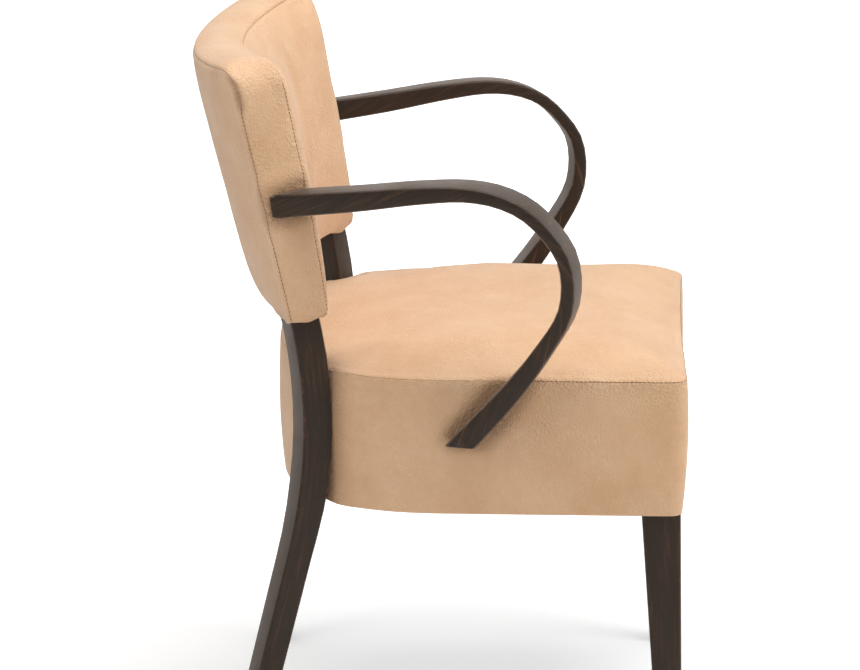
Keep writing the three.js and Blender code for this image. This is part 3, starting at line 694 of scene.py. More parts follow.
def leather_grain_group():
    """Pebble grain, creases and clouds of leather."""
    found = bpy.data.node_groups.get("Leather Grain")
    if found:
        return found
    nodes, given, out = new_group(
        "Leather Grain",
        [("Place", VECTOR, None), ("Seam", FLOAT, 1.0), ("Press", FLOAT, 0.0)],
        [("Height", FLOAT), ("Cloud", FLOAT), ("Seam Line", FLOAT)],
    )
    where, seam, press = (given.outputs[i] for i in range(3))
    bend = nodes.add("ShaderNodeTexNoise", {"Vector": where, "Scale": 90.0, "Detail": 2.0})
    shift = nodes.vector_math("MULTIPLY", bend.outputs["Color"], (0.0022, 0.0022, 0.0022))
    bent = nodes.vector_math("ADD", where, shift)
    pebble = nodes.add("ShaderNodeTexVoronoi", {"Vector": bent, "Scale": 400.0}).outputs["Distance"]
    fine = nodes.noise(where, 900.0, 1.0, 0.6)
    near_seam = nodes.ramp(seam, 0.002, 0.026, 1.0, 0.0)
    patches = nodes.ramp(nodes.noise(where, 11.0, 2.0), 0.42, 0.66)
    strength = nodes.math("ADD", 0.30, nodes.math("MULTIPLY", near_seam, 0.5))
    strength = nodes.math("ADD", strength, nodes.math("MULTIPLY", patches, 0.45))
    strength = nodes.math("ADD", strength, nodes.math("MULTIPLY", press, 0.35))
    grain = nodes.math("MULTIPLY", pebble, strength)
    grain = nodes.math("ADD", grain, nodes.math("MULTIPLY", fine, 0.16))
    pucker = nodes.math("MULTIPLY", nodes.noise(bent, 150.0, 2.0), nodes.ramp(seam, 0.001, 0.012, 1.1, 0.0))
    crease = nodes.math("MULTIPLY", nodes.noise(bent, 120.0, 2.0), nodes.math("MULTIPLY", press, 1.1))
    height = nodes.math("ADD", nodes.math("ADD", grain, pucker), crease)
    cloud = nodes.noise(where, 13.0, 4.0, 0.6)
    mottle = nodes.noise(where, 120.0, 3.0, 0.6)
    cloud = nodes.math("ADD", nodes.math("MULTIPLY", cloud, 0.75), nodes.math("MULTIPLY", mottle, 0.25))
    line = nodes.ramp(seam, 0.0002, 0.0008, 1.0, 0.0)
    return put_out(nodes, out, height, cloud, line)


def wood_grain_group():
    """Grain of sawn wood that runs along the first axis of the place."""
    found = bpy.data.node_groups.get("Wood Grain")
    if found:
        return found
    nodes, given, out = new_group(
        "Wood Grain",
        [("Place", VECTOR, None), ("Fineness", FLOAT, 1.0)],
        [("Height", FLOAT), ("Streak", FLOAT), ("Pore", FLOAT), ("Line", FLOAT)],
    )
    where, fineness = given.outputs[0], given.outputs[1]
    sway = nodes.add("ShaderNodeTexNoise", {"Vector": where, "Scale": 9.0, "Detail": 2.0})
    shift = nodes.vector_math("MULTIPLY", sway.outputs["Color"], (0.0, 0.006, 0.006))
    swayed = nodes.vector_math("ADD", where, shift)
    streaks = nodes.vector_math("MULTIPLY", swayed, (14.0, 260.0, 260.0))
    pores = nodes.vector_math("MULTIPLY", swayed, (90.0, 1500.0, 1500.0))
    streak = nodes.noise(streaks, fineness, 4.0, 0.65)
    pore = nodes.noise(pores, fineness, 2.0, 0.5)
    height = nodes.math("ADD", nodes.math("MULTIPLY", streak, 0.4), nodes.math("MULTIPLY", pore, 0.6))
    wave = nodes.noise(nodes.vector_math("MULTIPLY", swayed, (9.0, 30.0, 30.0)), 1.0, 2.0)
    apart = nodes.add("ShaderNodeSeparateXYZ", {0: swayed}).outputs[2]
    ring = nodes.math("ADD", nodes.math("MULTIPLY", apart, 170.0), nodes.math("MULTIPLY", wave, 3.0))
    line = nodes.ramp(nodes.math("PINGPONG", ring, 1.0), 0.02, 0.16, 1.0, 0.0)
    line = nodes.math("MULTIPLY", line, nodes.ramp(streak, 0.46, 0.64))
    return put_out(nodes, out, height, streak, pore, line)


def weave_group():
    """Plain weave. The scale counts its threads in a metre."""
    found = bpy.data.node_groups.get("Weave")
    if found:
        return found
    nodes, given, out = new_group(
        "Weave", [("Place", VECTOR, None), ("Scale", FLOAT, THREADS)], [("Height", FLOAT)]
    )
    parts = nodes.add("ShaderNodeSeparateXYZ", {0: given.outputs[0]})
    turn = nodes.math("MULTIPLY", given.outputs[1], math.pi)
    waves = [nodes.math("SINE", nodes.math("MULTIPLY", parts.outputs[i], turn)) for i in range(2)]
    return put_out(nodes, out, nodes.math("ADD", nodes.math("MULTIPLY", *waves), 0.5))


# Materials


def new_material(name, roughness, **fixed):
    """Material with a Principled shader whose constants are set on its own sockets."""
    made = bpy.data.materials.new(name)
    made.use_nodes = True
    shader = made.node_tree.nodes["Principled BSDF"]
    shader.inputs["Roughness"].default_value = roughness
    for label, value in fixed.items():
        shader.inputs[label].default_value = value
    return made, Nodes(made.node_tree), shader


def use_bump(nodes, shader, height, strength, distance):
    bump = nodes.add("ShaderNodeBump", {"Height": height, "Strength": strength, "Distance": distance})
    nodes.link(bump.outputs["Normal"], shader, "Normal")


def shaded(colour, factor):
    """The colour made lighter or darker."""
    return tuple(min(factor * c, 1) for c in colour[:3]) + (1,)


def leather_material():
    found = bpy.data.materials.get("nubuck")
    if found:
        return found
    made, nodes, shader = new_material("nubuck", 0.6, **LEATHER_FINISH)
    inputs = {"Place": nodes.place(), "Seam": nodes.field("seam"), "Press": nodes.field("press")}
    grain = nodes.add("ShaderNodeGroup", inputs, node_tree=leather_grain_group())
    cloud = nodes.ramp(grain.outputs["Cloud"], 0.38, 0.62)
    base = nodes.mix(cloud, tuple(colours().leather), tuple(colours().leather_pale))
    # Painted shade: the leather is darkened where the press field marks it. That is beside the arms and legs,
    # in the back's creases and gathers, and where it is drawn over the legs.
    painted_shade = nodes.mix(nodes.math("MULTIPLY", nodes.field("press"), 0.6), base, LEATHER_PAINTED_SHADE)
    # Painted shade in the grain's hollows: the leather is darker where the grain's height is low.
    painted_hollow_shade = nodes.ramp(grain.outputs["Height"], 0.1, 0.75, 0.13, 0.0)
    grained = nodes.mix(painted_hollow_shade, painted_shade, LEATHER_PAINTED_HOLLOW_SHADE)
    line = nodes.math("MULTIPLY", grain.outputs["Seam Line"], 0.55)
    nodes.link(nodes.mix(line, grained, LEATHER_AT_SEAM), shader, "Base Color")
    nodes.link(nodes.ramp(grain.outputs["Cloud"], 0.3, 0.7, 0.66, 0.52), shader, "Roughness")
    use_bump(nodes, shader, grain.outputs["Height"], 0.7, 0.0018)
    return made


def stained_material():
    found = bpy.data.materials.get("dark_stain")
    if found:
        return found
    made, nodes, shader = new_material("dark_stain", 0.4, **STAIN_FINISH)
    inputs = {"Place": nodes.field("grain", "Vector"), "Fineness": 1.0}
    grain = nodes.add("ShaderNodeGroup", inputs, node_tree=wood_grain_group())
    streak = nodes.ramp(grain.outputs["Streak"], 0.5, 0.72)
    streak = nodes.math("MULTIPLY", streak, 0.4)
    base = nodes.mix(streak, tuple(colours().stain), tuple(colours().stain_streak))
    line = nodes.math("MULTIPLY", grain.outputs["Line"], nodes.field("lines"))
    base = nodes.mix(line, base, STAIN_LINE)
    pore = nodes.ramp(grain.outputs["Pore"], 0.28, 0.4, 0.35, 0.0)
    base = nodes.mix(pore, base, STAIN_PORE)
    section = nodes.add("ShaderNodeSeparateXYZ", {0: nodes.field("section", "Vector")})
    sides = [nodes.math("ABSOLUTE", section.outputs[i]) for i in range(2)]
    edge = nodes.ramp(nodes.math("MINIMUM", *sides), 0.84, 1.0)
    specks = nodes.ramp(nodes.noise(nodes.place(), 130.0, 4.0, 0.7), 0.50, 0.66)
    worn = nodes.math("MULTIPLY", edge, nodes.math("MULTIPLY", specks, 0.6))
    nodes.link(nodes.mix(worn, base, STAIN_WORN), shader, "Base Color")
    smear = nodes.noise(nodes.place(), 25.0, 3.0)
    nodes.link(nodes.ramp(smear, 0.3, 0.7, 0.36, 0.50), shader, "Roughness")
    use_bump(nodes, shader, grain.outputs["Height"], 0.22, 0.0004)
    return made


def beech_material():
    made, nodes, shader = new_material("bare_beech", 0.6)
    inputs = {"Place": nodes.place(), "Fineness": 0.8}
    grain = nodes.add("ShaderNodeGroup", inputs, node_tree=wood_grain_group())
    streak = nodes.ramp(grain.outputs["Streak"], 0.4, 0.65)
    base = nodes.mix(streak, tuple(colours().beech), shaded(colours().beech, 0.72))
    nodes.link(base, shader, "Base Color")
    use_bump(nodes, shader, grain.outputs["Height"], 0.2, 0.0003)
    return made


def lining_material():
    found = bpy.data.materials.get("lining_weave")
    if found:
        return found
    made, nodes, shader = new_material("lining_weave", 0.9, **{"Sheen Weight": 0.2})
    inputs = {"Place": nodes.place(), "Scale": THREADS}
    weave = nodes.add("ShaderNodeGroup", inputs, node_tree=weave_group()).outputs[0]
    fuzz = nodes.noise(nodes.place(), 60.0, 3.0)
    shade = nodes.math("MULTIPLY", weave, nodes.ramp(fuzz, 0.3, 0.7, 0.3, 1.0))
    base = nodes.mix(shade, tuple(colours().lining), shaded(colours().lining, 2.2))
    nodes.link(base, shader, "Base Color")
    use_bump(nodes, shader, weave, 0.6, 0.0004)
    return made


def thread_material():
    found = bpy.data.materials.get("sewing_thread")
    if found:
        return found
    made, nodes, shader = new_material("sewing_thread", 0.7)
    twist = nodes.noise(nodes.place(), 1800.0, 2.0)
    base = nodes.mix(twist, tuple(colours().thread), shaded(colours().thread, 1.7))
    nodes.link(base, shader, "Base Color")
    use_bump(nodes, shader, twist, 0.5, 0.0002)
    return made


def steel_material():
    made, nodes, shader = new_material("zinc_steel", 0.35, Metallic=1.0)
    wear = nodes.noise(nodes.place(), 300.0, 4.0)
    nodes.link(nodes.mix(wear, STEEL_DULL, STEEL_BRIGHT), shader, "Base Color")
    nodes.link(nodes.ramp(wear, 0.3, 0.7, 0.26, 0.5), shader, "Roughness")
    return made


def glide_material():
    made, nodes, shader = new_material("black_nylon", 0.5)
    scuff = nodes.noise(nodes.place(), 400.0, 4.0)
    nodes.link(nodes.mix(scuff, NYLON, NYLON_SCUFFED), shader, "Base Color")
    use_bump(nodes, shader, scuff, 0.3, 0.0002)
    return made


# Cushions


def seat_points(across, ahead, level):
    """Places of the seat cushion for places on the cube."""
    outline = Outline(seat_outline())
    rear = np.argmin(np.abs(outline.points[:REAR_POINTS, 0] + SEAT_REAR_CORNER * SEAT_HALF_WIDTH))
    rear_at = outline.along[rear]
    front_at = outline.along[REAR_POINTS + SIDE_POINTS - 1 + (CORNER_POINTS - 1) // 2]
    reach = np.maximum(np.maximum(np.abs(across), np.abs(ahead)), TINY)
    sideways, lengthways = across / reach, ahead / reach
    length = outline.length
    rear_part = -sideways * rear_at
    first_side = rear_at + (front_at - rear_at) * (1 - lengthways) / 2
    front_part = front_at + (length - 2 * front_at) * (sideways + 1) / 2
    on_side = np.abs(sideways) >= np.abs(lengthways)
    side_part = np.where(sideways < 0, first_side, length - first_side)
    along = np.where(on_side, side_part, np.where(lengthways > 0, rear_part, front_part))
    seam = outline.read(outline.points, along)
    normal = outline.read(outline.normals, along)
    share = 0.5 - 0.5 * np.cos(math.pi * (level + 1) / 2)
    tuck = SEAT_DRAW_IN * (1 - share) - SEAT_BULGE * np.sin(math.pi * share)
    ring = 1 - (1 - reach) ** SEAT_RING_SPACING
    plan = seam - normal * tuck[:, None]
    plan = np.stack([plan[:, 0] * ring, SEAT_MIDDLE + (plan[:, 1] - SEAT_MIDDLE) * ring], 1)
    loss = CROWN_REAR_LOSS * np.clip((plan[:, 1] - SEAT_MIDDLE) / SEAT_HALF_DEPTH, 0, 1)
    top = sizes().seat_crown * (1 - ring**CROWN_FLATNESS) * (1 - loss)
    z = SEAM_HEIGHT - BOXING + BOXING * share + np.where(level > ON_FACE, top, 0)
    return np.column_stack([plan[:, 0], plan[:, 1] + SHIFT, z])


def back_points(across, through, level):
    """Places of the backrest's cushion for places on the cube, with their shares of its width and height."""
    spread = 1 - (1 - np.abs(across)) ** BACK_SPACING
    part = 0.5 - 0.5 * np.cos(math.pi * (level + 1) / 2)
    deep = (np.sin(through * math.pi / 2) + 1) / 2
    low_angle, high_angle = BACK_ANGLES
    low_thick, high_thick = BACK_THICKNESS
    angle = np.sign(across) * spread * (low_angle + (high_angle - low_angle) * part)
    thick = low_thick + (high_thick - low_thick) * part - BACK_TUCK * (1 - part) ** BACK_TUCK_POWER
    left = np.maximum(BACK_TOP_CORNER - BACK_RADIUS * low_angle * (1 - spread), 0)
    corner = BACK_TOP_CORNER - np.sqrt(BACK_TOP_CORNER**2 - left**2)
    top = BACK_HEIGHT + BACK_REAR_RISE * (1 - deep) - corner
    depth = thick * deep
    ahead = BACK_RADIUS - (BACK_RADIUS - depth) * np.cos(angle)
    low = -ahead * math.tan(BACK_RAKE)
    height = low + (top - low) * part
    sin, cos = math.sin(BACK_RAKE), math.cos(BACK_RAKE)
    return np.column_stack([
        (BACK_RADIUS - depth) * np.sin(angle),
        BACK_BEHIND - ahead * cos + height * sin + SHIFT,
        BACK_LEVEL + ahead * sin + height * cos,
    ]), spread, part


def faces_of_cube(across, through, level):
    """Which vertices lie on which faces of the cube that the backrest starts from."""
    return SimpleNamespace(
        front=through > ON_FACE,
        rear=through < -ON_FACE,
        top=level > ON_FACE,
        bottom=level < -ON_FACE,
        side=np.abs(across) > ON_FACE,
    )


def back_swell(through, spread, part, on):
    """How far each vertex of the backrest swells out."""
    band = (on.top | on.side) & ~on.front & ~on.rear
    out = np.zeros(len(through))
    crown = sizes().back_crown * (1 - (2 * part - 1) ** CROWN_POWER) * (CROWN_LOW + CROWN_GAIN * part)
    out[on.front] = (crown * (1 - spread**CROWN_SIDE_POWER))[on.front]
    bulge = sizes().rear_bulge * (1 - (2 * part - 1) ** REAR_POWER)
    out[on.rear] = (bulge * (1 - spread**REAR_SIDE_POWER))[on.rear]
    arch = np.cos(through * math.pi / 2) ** ARCH_POWER
    fade = smooth_step(0.0, BACK_TOP_FADE, BACK_RADIUS * BACK_ANGLES[0] * (1 - spread))
    lift = BACK_SIDE_BULGE + (BACK_TOP_CROWN - BACK_SIDE_BULGE) * np.where(on.top, fade, 0)
    out[band] = (lift * arch)[band]
    out[on.bottom] = 0
    return out


def pressed_in(mesh, tree, reach, ring):
    """Presses the leather in beside wood, with a swell around. Returns how strongly each vertex is marked.
    The mark raises the grain and paints shade on the leather beside the wood.
    """
    away = near_surface(coordinates(mesh), tree, reach)
    swell = smooth_step(*RING_FROM, away) * (1 - smooth_step(RING_TO, reach, away))
    shift_out(mesh, ring * swell - sizes().press * bell(away, PRESS_NEAR))
    return 1 - smooth_step(0.0, reach * PRESS_MARK, away)


def made_uneven(mesh, waves, moving):
    """Gives the leather slight waves, each with a size, a seed and a height."""
    placed = coordinates(mesh)
    slack = sum(wander(placed, size, seed) * height for size, seed, height in waves)
    shift_out(mesh, slack * moving)


def creased(mesh, spread, part, on, seams):
    """Creases the back's upper rear corners and gathers the leather beside the front's upper corners. Returns
    how strongly each vertex is creased and gathered. Both raise the grain and paint shade in the creases and
    gathers.
    """
    placed = coordinates(mesh)
    level = placed[:, 2]
    corner = smooth_step(*CREASE_FROM, level) * (1 - smooth_step(*CREASE_TO, level)) * (spread > CREASE_SIDE)
    crease = corner * bell(distances(placed, placed[seams & on.rear]), CREASE_WIDTH)
    from_front = distances(placed, placed[seams & on.front & on.side])
    edge = on.top | (on.side & ~on.front & ~on.rear)
    gathers = smooth_step(*GATHER_FROM, part) * bell(from_front, GATHER_WIDTH) * edge
    folds = np.abs(wander(placed * GATHER_STRETCH, GATHER_SIZE, seed=6))
    shift_out(mesh, -CREASE_DEPTH * crease - GATHER_DEPTH * gathers * folds)
    return crease, gathers


def drawn_over_legs(mesh, part, on, seams):
    """Draws the back's lower edge down over the legs and rounds its lower front corners. Also returns how
    strongly the leather is drawn over the legs, which paints shade there.
    """
    shaped = coordinates(mesh)
    legs = near_surface(shaped, node_tree("rear_leg_left", "rear_leg_right"), LEG_PRESS_REACH)
    low = 1 - smooth_step(0.0, SLEEVE_RISE, shaped[:, 2] - BACK_LEVEL)
    sleeve = (1 - smooth_step(*SLEEVE_NEAR, legs)) * low
    corners = shaped[seams & on.front & on.side & (part < LOWEST)]
    shaped[:, 2] += LOWER_CORNER * bell(distances(shaped, corners), LOWER_CORNER_REACH)
    shaped[:, 2] -= sleeve * (SLEEVE_DROP + SLEEVE_WAVE * wander(shaped, SLEEVE_WAVE_SIZE, seed=5))
    place(mesh, shaped)
    return shaped, sleeve


def sewn_in(mesh, seam_points, panel):
    """Sinks the leather at its seams and raises a lip beside them. Returns the distances to the seams."""
    apart = distances(coordinates(mesh), seam_points)
    lip = LIP_HEIGHT * bell(apart - LIP_AT, LIP_WIDTH) * panel
    shift_out(mesh, -sizes().groove * bell(apart, GROOVE_WIDTH) + lip)
    return np.minimum(apart, SEAM_REACH)


def leather_piece(mesh, name, apart, press):
    """Turns the mesh into a cushion with the fields that its leather reads."""
    cushion = finished(mesh, name, leather_material())
    add_field(cushion, "seam", apart)
    # The press field raises the grain and paints shade on the leather.
    add_field(cushion, "press", press)
    add_subdivision(cushion, 1)
    return cushion


def front_of_loop(points):
    """The part of the seat's seam in front of the arms, in order, as a flat list."""
    middle = points.mean(0)
    turn = np.arctan2(points[:, 1] - middle[1], points[:, 0] - middle[0])
    ordered = points[np.argsort(turn)]
    return ordered[ordered[:, 1] < SHIFT - STITCHED_FROM].ravel().tolist()


class ARMCHAIR_OT_seat(bpy.types.Operator):
    """Makes the boxed leather seat cushion"""

    bl_idname = "armchair.seat"
    bl_label = "Seat cushion"

    def execute(self, context):
        mesh = box_grid(*SEAT_GRID)
        across, ahead, level = coordinates(mesh).T
        place(mesh, seat_points(across, ahead, level))
        turn_outward(mesh)
        top, bottom = level > ON_FACE, level < -ON_FACE
        seam = top & (np.maximum(np.abs(across), np.abs(ahead)) > ON_FACE)
        puff_up(mesh, np.where(seam | bottom, 1.0, 0.0), sizes().puff)
        arms = pressed_in(mesh, node_tree("arm_left", "arm_right"), ARM_PRESS_REACH, ARM_PRESS_RING)
        legs = node_tree("rear_leg_left", "rear_leg_right")
        legs = pressed_in(mesh, legs, LEG_PRESS_REACH, LEG_PRESS_RING)
        made_uneven(mesh, SEAT_WAVES, ~bottom)
        apart = sewn_in(mesh, coordinates(mesh)[seam], top)
        context.scene["seat_seam"] = front_of_loop(coordinates(mesh)[seam] + (0, 0, STITCH_LIFT))
        # The marks beside the arms and legs raise the grain and paint shade on the leather there.
        cushion = leather_piece(mesh, "seat_cushion", apart, np.maximum(arms, legs))
        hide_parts("seat_cover", "seat_foam")
        return {"FINISHED"}


class ARMCHAIR_OT_back(bpy.types.Operator):
    """Makes the curved leather cushion of the backrest"""

    bl_idname = "armchair.back"
    bl_label = "Back cushion"

    def execute(self, context):
        mesh = box_grid(*BACK_GRID)
        across, through, level = coordinates(mesh).T
        points, spread, part = back_points(across, through, level)
        place(mesh, points)
        turn_outward(mesh)
        on = faces_of_cube(across, through, level)
        place(mesh, points + normals_of(mesh) * back_swell(through, spread, part, on)[:, None])
        seams = (on.front | on.rear) & (on.top | on.side)
        puff_up(mesh, np.where(seams | on.bottom, 1.0, 0.0), sizes().puff)
        arms = pressed_in(mesh, node_tree("arm_left", "arm_right"), ARM_PRESS_REACH, ARM_PRESS_RING)
        made_uneven(mesh, BACK_WAVES, ~on.bottom)
        crease, gathers = creased(mesh, spread, part, on, seams)
        shaped, sleeve = drawn_over_legs(mesh, part, on, seams)
        apart = sewn_in(mesh, shaped[seams], on.front | on.rear)
        placed = coordinates(mesh) + normals_of(mesh) * STITCH_LIFT
        runs = []
        for face, limit in zip((on.front, on.rear), STITCHED_TO):
            for half in (across < 0, across > 0):
                run = placed[face & (on.top | on.side) & half & (placed[:, 2] < limit)]
                runs.append(run[np.argsort(run[:, 2])])
        for name, run in zip(BACK_SEAMS, runs):
            context.scene[name] = run.ravel().tolist()
        # The crease, gather, sleeve and arm marks raise the grain and paint shade on the leather where they
        # lie.
        marks = np.minimum(CREASE_MARK * crease, 1) + GATHER_MARK * gathers
        press = np.maximum(np.maximum(arms, SLEEVE_MARK * sleeve), marks)
        cushion = leather_piece(mesh, "back_cushion", apart, press)
        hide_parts("back_cover", "back_front_foam", "back_rear_foam", "back_base")
        return {"FINISHED"}


def row_of_stitches(name, points):
    """Small rounded stitches along a seam."""
    line = np.array(points).reshape(-1, 3)
    along = length_along(line)
    mesh = bmesh.new()
    length, width = sizes().stitch_length, sizes().stitch_width
    for at in np.arange(sizes().stitch_pitch, along[-1], sizes().stitch_pitch):
        start, end = (
            Vector([np.interp(at + side * length / 2, along, line[:, i]) for i in range(3)])
            for side in (-1, 1)
        )
        turn = (end - start).normalized().to_track_quat("Z", "Y").to_matrix().to_4x4()
        shape = Matrix.Diagonal((width, width, length, 1))
        where = Matrix.Translation((start + end) / 2)
        shape = where @ turn @ shape
        bmesh.ops.create_uvsphere(mesh, u_segments=6, v_segments=4, radius=0.5, matrix=shape)
    return finished(mesh, name, thread_material())


class ARMCHAIR_OT_stitches(bpy.types.Operator):
    """Sews the seams of the seat and of the backrest"""

    bl_idname = "armchair.stitches"
    bl_label = "Stitches"

    def execute(self, context):
        for name in ("seat_seam", *BACK_SEAMS):
            row = row_of_stitches(name + "_stitches", list(context.scene[name]))
        return {"FINISHED"}


# Wood


def wooden(node, lean, lines, line, out, wide, thick, mirror):
    """Wooden piece over a CAD node, with its grain along its middle line."""
    made = finished(node_mesh(node), node + "_wood", stained_material())
    points = np.array([v.co for v in made.data.vertices]) * ((-1 if mirror else 1), 1, 1)
    along = length_along(line)
    tangents = np.gradient(line, axis=0)
    tangents /= np.linalg.norm(tangents, axis=1)[:, None]
    tree = search_tree(line)
    near = np.array([tree.find(p)[1] for p in points])
    gap = points - line[near]
    forward = np.einsum("ij,ij->i", gap, tangents[near])
    across = gap @ out
    deep = np.einsum("ij,ij->i", gap, np.cross(out, tangents[near]))
    run = along[near] + forward
    add_vectors(made, "grain", np.column_stack([run, across, deep + lean * run]))
    section = np.column_stack([across / wide[near] * 2, deep / thick[near] * 2, 0 * deep])
    add_vectors(made, "section", section)
    add_field(made, "lines", np.interp(run, (0, along[-1]), lines))
    made.data.set_sharp_from_angle(angle=SHARP_ANGLE)
    weighted = made.modifiers.new("Weighted Normal", "WEIGHTED_NORMAL")
    weighted.keep_sharp = True
    weighted.weight = 80
    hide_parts(node)


class ARMCHAIR_OT_woodwork(bpy.types.Operator):
    """Makes the stained arms and legs, with the grain along them"""

    bl_idname = "armchair.woodwork"
    bl_label = "Arms and legs"

    def execute(self, context):
        kinds = (
            ("arm", *ARM_GRAIN, *arm_line()),
            ("rear_leg", *REAR_LEG_GRAIN, *rear_leg_line()),
            ("front_leg", *FRONT_LEG_GRAIN, *front_leg_line()),
        )
        for name, *made in kinds:
            for side in ("left", "right"):
                wooden(f"{name}_{side}", *made, side == "right")
        return {"FINISHED"}


# Cloth and hidden parts


def lining_mesh():
    """Underside of the dust cover, cut fine enough to sag a little."""
    mesh = node_mesh("dust_cover")
    level = min(v.co.z for v in mesh.verts)
    bmesh.ops.delete(mesh, geom=[f for f in mesh.faces if f.normal.z > -MOSTLY], context="FACES")
    bmesh.ops.delete(mesh, geom=[v for v in mesh.verts if not v.link_faces], context="VERTS")
    bmesh.ops.dissolve_limit(mesh, angle_limit=LINING_FLAT, verts=mesh.verts, edges=mesh.edges)
    bmesh.ops.triangulate(mesh, faces=mesh.faces)
    for _ in range(LINING_CUTS):
        long = [e for e in mesh.edges if e.calc_length() > LINING_EDGE]
        bmesh.ops.subdivide_edges(mesh, edges=long, cuts=1)
        bmesh.ops.triangulate(mesh, faces=mesh.faces)
    outline = seat_outline() + (0, SHIFT)
    shaped = coordinates(mesh)
    inside = distances(shaped, np.column_stack([outline, np.full(len(outline), level)]))
    wave = LINING_WAVE * wander(shaped, LINING_WAVE_SIZE, seed=7)
    sag = smooth_step(*LINING_SAG_OVER, inside) * LINING_SAG + wave
    shaped[:, 2] = level + LINING_LIFT - sag
    place(mesh, shaped)
    return mesh


def strap_mesh(low, high):
    """Slightly wavy band through the middle of a strap's box."""
    mesh = bmesh.new()
    bmesh.ops.create_grid(mesh, x_segments=60, y_segments=6, size=0.5)
    grid = coordinates(mesh)
    place(mesh, np.column_stack([
        (low.x + high.x) / 2 + grid[:, 0] * (high.x - low.x),
        (low.y + high.y) / 2 + grid[:, 1] * (high.y - low.y),
        (low.z + high.z) / 2 + STRAP_WAVE * np.sin(grid[:, 0] * STRAP_WAVES),
    ]))
    return mesh


class ARMCHAIR_OT_underside(bpy.types.Operator):
    """Makes the lining under the seat and the webbing inside it"""

    bl_idname = "armchair.underside"
    bl_label = "Lining and webbing"

    def execute(self, context):
        lining = finished(lining_mesh(), "lining", lining_material())
        add_wall(lining, LINING_THICKNESS)
        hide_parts("dust_cover")
        for number in range(1, STRAP_COUNT + 1):
            node = f"webbing_strap_{number}"
            strap = finished(strap_mesh(*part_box(node)), node + "_band", lining_material())
            add_wall(strap, STRAP_THICKNESS)
            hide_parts(node)
        return {"FINISHED"}


class ARMCHAIR_OT_frame_finish(bpy.types.Operator):
    """Gives the hidden frame, the steel and the glides their materials"""

    bl_idname = "armchair.frame_finish"
    bl_label = "Frame, steel and glides"

    def execute(self, context):
        groups = (
            (BEECH_NODES, beech_material(), "frame_wood"),
            (STEEL_NODES, steel_material(), "steel"),
            (GLIDE_NODES, glide_material(), "glide"),
        )
        for names, material, slot in groups:
            for name in names:
                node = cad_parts[name]
                for holder in node.material_slots:
                    holder.material = material
        return {"FINISHED"}


# Stage


def add_floor():
    """Plain floor that turns white to the camera away from the chair, and keeps its shadow."""
    mesh = bmesh.new()
    bmesh.ops.create_grid(mesh, x_segments=1, y_segments=1, size=FLOOR_HALF)
    data = bpy.data.meshes.new("floor")
    mesh.to_mesh(data)
    mesh.free()
    floor = add_object("floor", data)
    material, nodes, shader = new_material("floor", 0.9)
    shader.inputs["Base Color"].default_value = tuple(colours().floor)
    shader.inputs["Emission Color"].default_value = WHITE
    path = nodes.add("ShaderNodeLightPath")
    away = nodes.add("ShaderNodeVectorMath", {0: nodes.place()}, operation="LENGTH").outputs["Value"]
    glow = nodes.ramp(away, *FLOOR_GLOW_OVER, *FLOOR_GLOW)
    glow = nodes.math("MULTIPLY", path.outputs["Is Camera Ray"], glow)
    nodes.link(glow, shader, "Emission Strength")
    data.materials.append(material)


def add_world(scene):
    """Soft even light, white to the camera and to glossy rays towards the far side."""
    world = bpy.data.worlds.new("studio")
    scene.world = world
    world.use_nodes = True
    sky = Nodes(world.node_tree)
    soft = world.node_tree.nodes["Background"]
    soft.inputs["Color"].default_value = WHITE
    soft.inputs["Strength"].default_value = SOFT_LIGHT
    white = sky.add("ShaderNodeBackground", {"Color": WHITE, "Strength": 1.0})
    rays = sky.add("ShaderNodeLightPath")
    way = sky.add("ShaderNodeSeparateXYZ", {0: sky.add("ShaderNodeTexCoord").outputs["Generated"]})
    mirrored = sky.math("MULTIPLY", rays.outputs["Is Glossy Ray"], sky.ramp(way.outputs[0], -0.2, 0.6))
    seen = sky.math("MAXIMUM", rays.outputs["Is Camera Ray"], mirrored)
    seen = sky.math("MAXIMUM", seen, rays.outputs["Is Transmission Ray"])
    mixed = sky.add("ShaderNodeMixShader", {0: seen, 1: soft.outputs[0], 2: white.outputs[0]})
    sky.link(mixed.outputs[0], world.node_tree.nodes["World Output"], "Surface")


def add_lamps():
    for name, spot, size, power, mirrored in LAMPS:
        lamp = bpy.data.lights.new(name, "AREA")
        lamp.shape = "DISK"
        lamp.size = size
        lamp.energy = power
        holder = add_object(name, lamp)
        holder.visible_glossy = mirrored
        turn = (Vector(LAMP_AIM) - Vector(spot)).to_track_quat("-Z", "Y").to_matrix().to_4x4()
        holder.matrix_world = Matrix.Translation(spot) @ turn


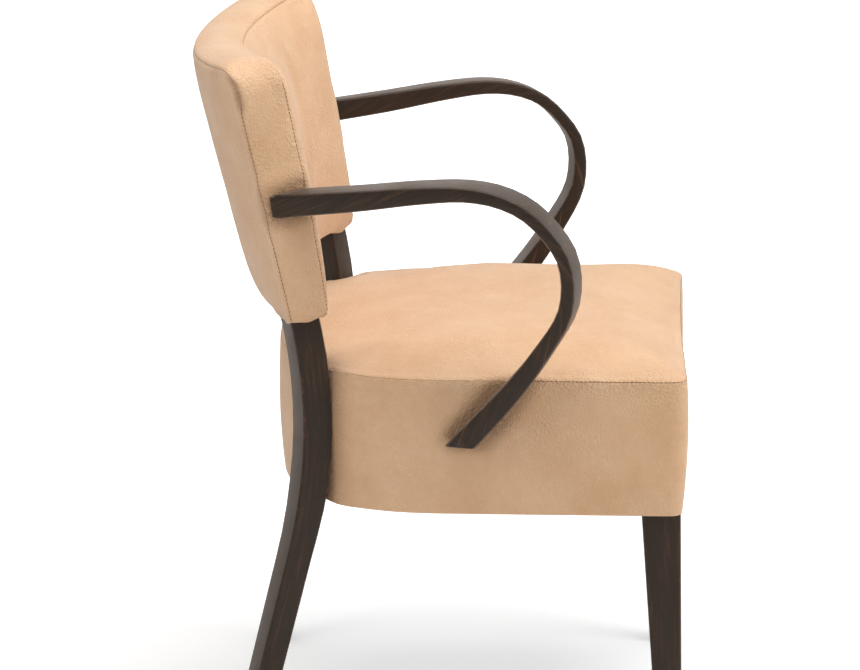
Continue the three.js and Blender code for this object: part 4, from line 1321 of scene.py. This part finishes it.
def add_camera(scene):
    camera = bpy.data.cameras.new("view")
    camera.sensor_width = CAMERA_SENSOR
    camera.lens = CAMERA_LENS
    camera.clip_end = CAMERA_CLIP
    holder = add_object("view", camera)
    turn = Matrix((CAMERA_RIGHT, CAMERA_UP, CAMERA_BACK)).transposed().to_4x4()
    holder.matrix_world = Matrix.Translation(CAMERA_AT) @ turn
    scene.camera = holder


class ARMCHAIR_OT_stage(bpy.types.Operator):
    """Makes the floor, the light and the camera"""

    bl_idname = "armchair.stage"
    bl_label = "Stage"

    def execute(self, context):
        add_floor()
        add_world(context.scene)
        add_lamps()
        add_camera(context.scene)
        context.scene.view_settings.view_transform = "Standard"
        return {"FINISHED"}


OPERATORS = (
    ARMCHAIR_OT_seat,
    ARMCHAIR_OT_back,
    ARMCHAIR_OT_stitches,
    ARMCHAIR_OT_woodwork,
    ARMCHAIR_OT_underside,
    ARMCHAIR_OT_frame_finish,
    ARMCHAIR_OT_stage,
)


class ARMCHAIR_PT_panel(bpy.types.Panel):
    """Lists the armchair's sizes, colours and makers"""

    bl_idname = "ARMCHAIR_PT_panel"
    bl_label = "Armchair"
    bl_space_type = "VIEW_3D"
    bl_region_type = "UI"
    bl_category = "Armchair"

    def draw(self, context):
        for group in (context.scene.armchair_sizes, context.scene.armchair_colours):
            for name in group.__annotations__:
                self.layout.prop(group, name)
        for operator in OPERATORS:
            self.layout.operator(operator.bl_idname)


CLASSES = (ArmchairSizes, ArmchairColours, *OPERATORS, ARMCHAIR_PT_panel)


def register():
    for cls in CLASSES:
        bpy.utils.register_class(cls)
    bpy.types.Scene.armchair_sizes = bpy.props.PointerProperty(type=ArmchairSizes)
    bpy.types.Scene.armchair_colours = bpy.props.PointerProperty(type=ArmchairColours)


def unregister():
    del bpy.types.Scene.armchair_colours
    del bpy.types.Scene.armchair_sizes
    for cls in reversed(CLASSES):
        bpy.utils.unregister_class(cls)


def main():
    register()
    for operator in OPERATORS:
        getattr(bpy.ops.armchair, operator.bl_idname.split(".")[1])()


if __name__ == "__main__":
    main()
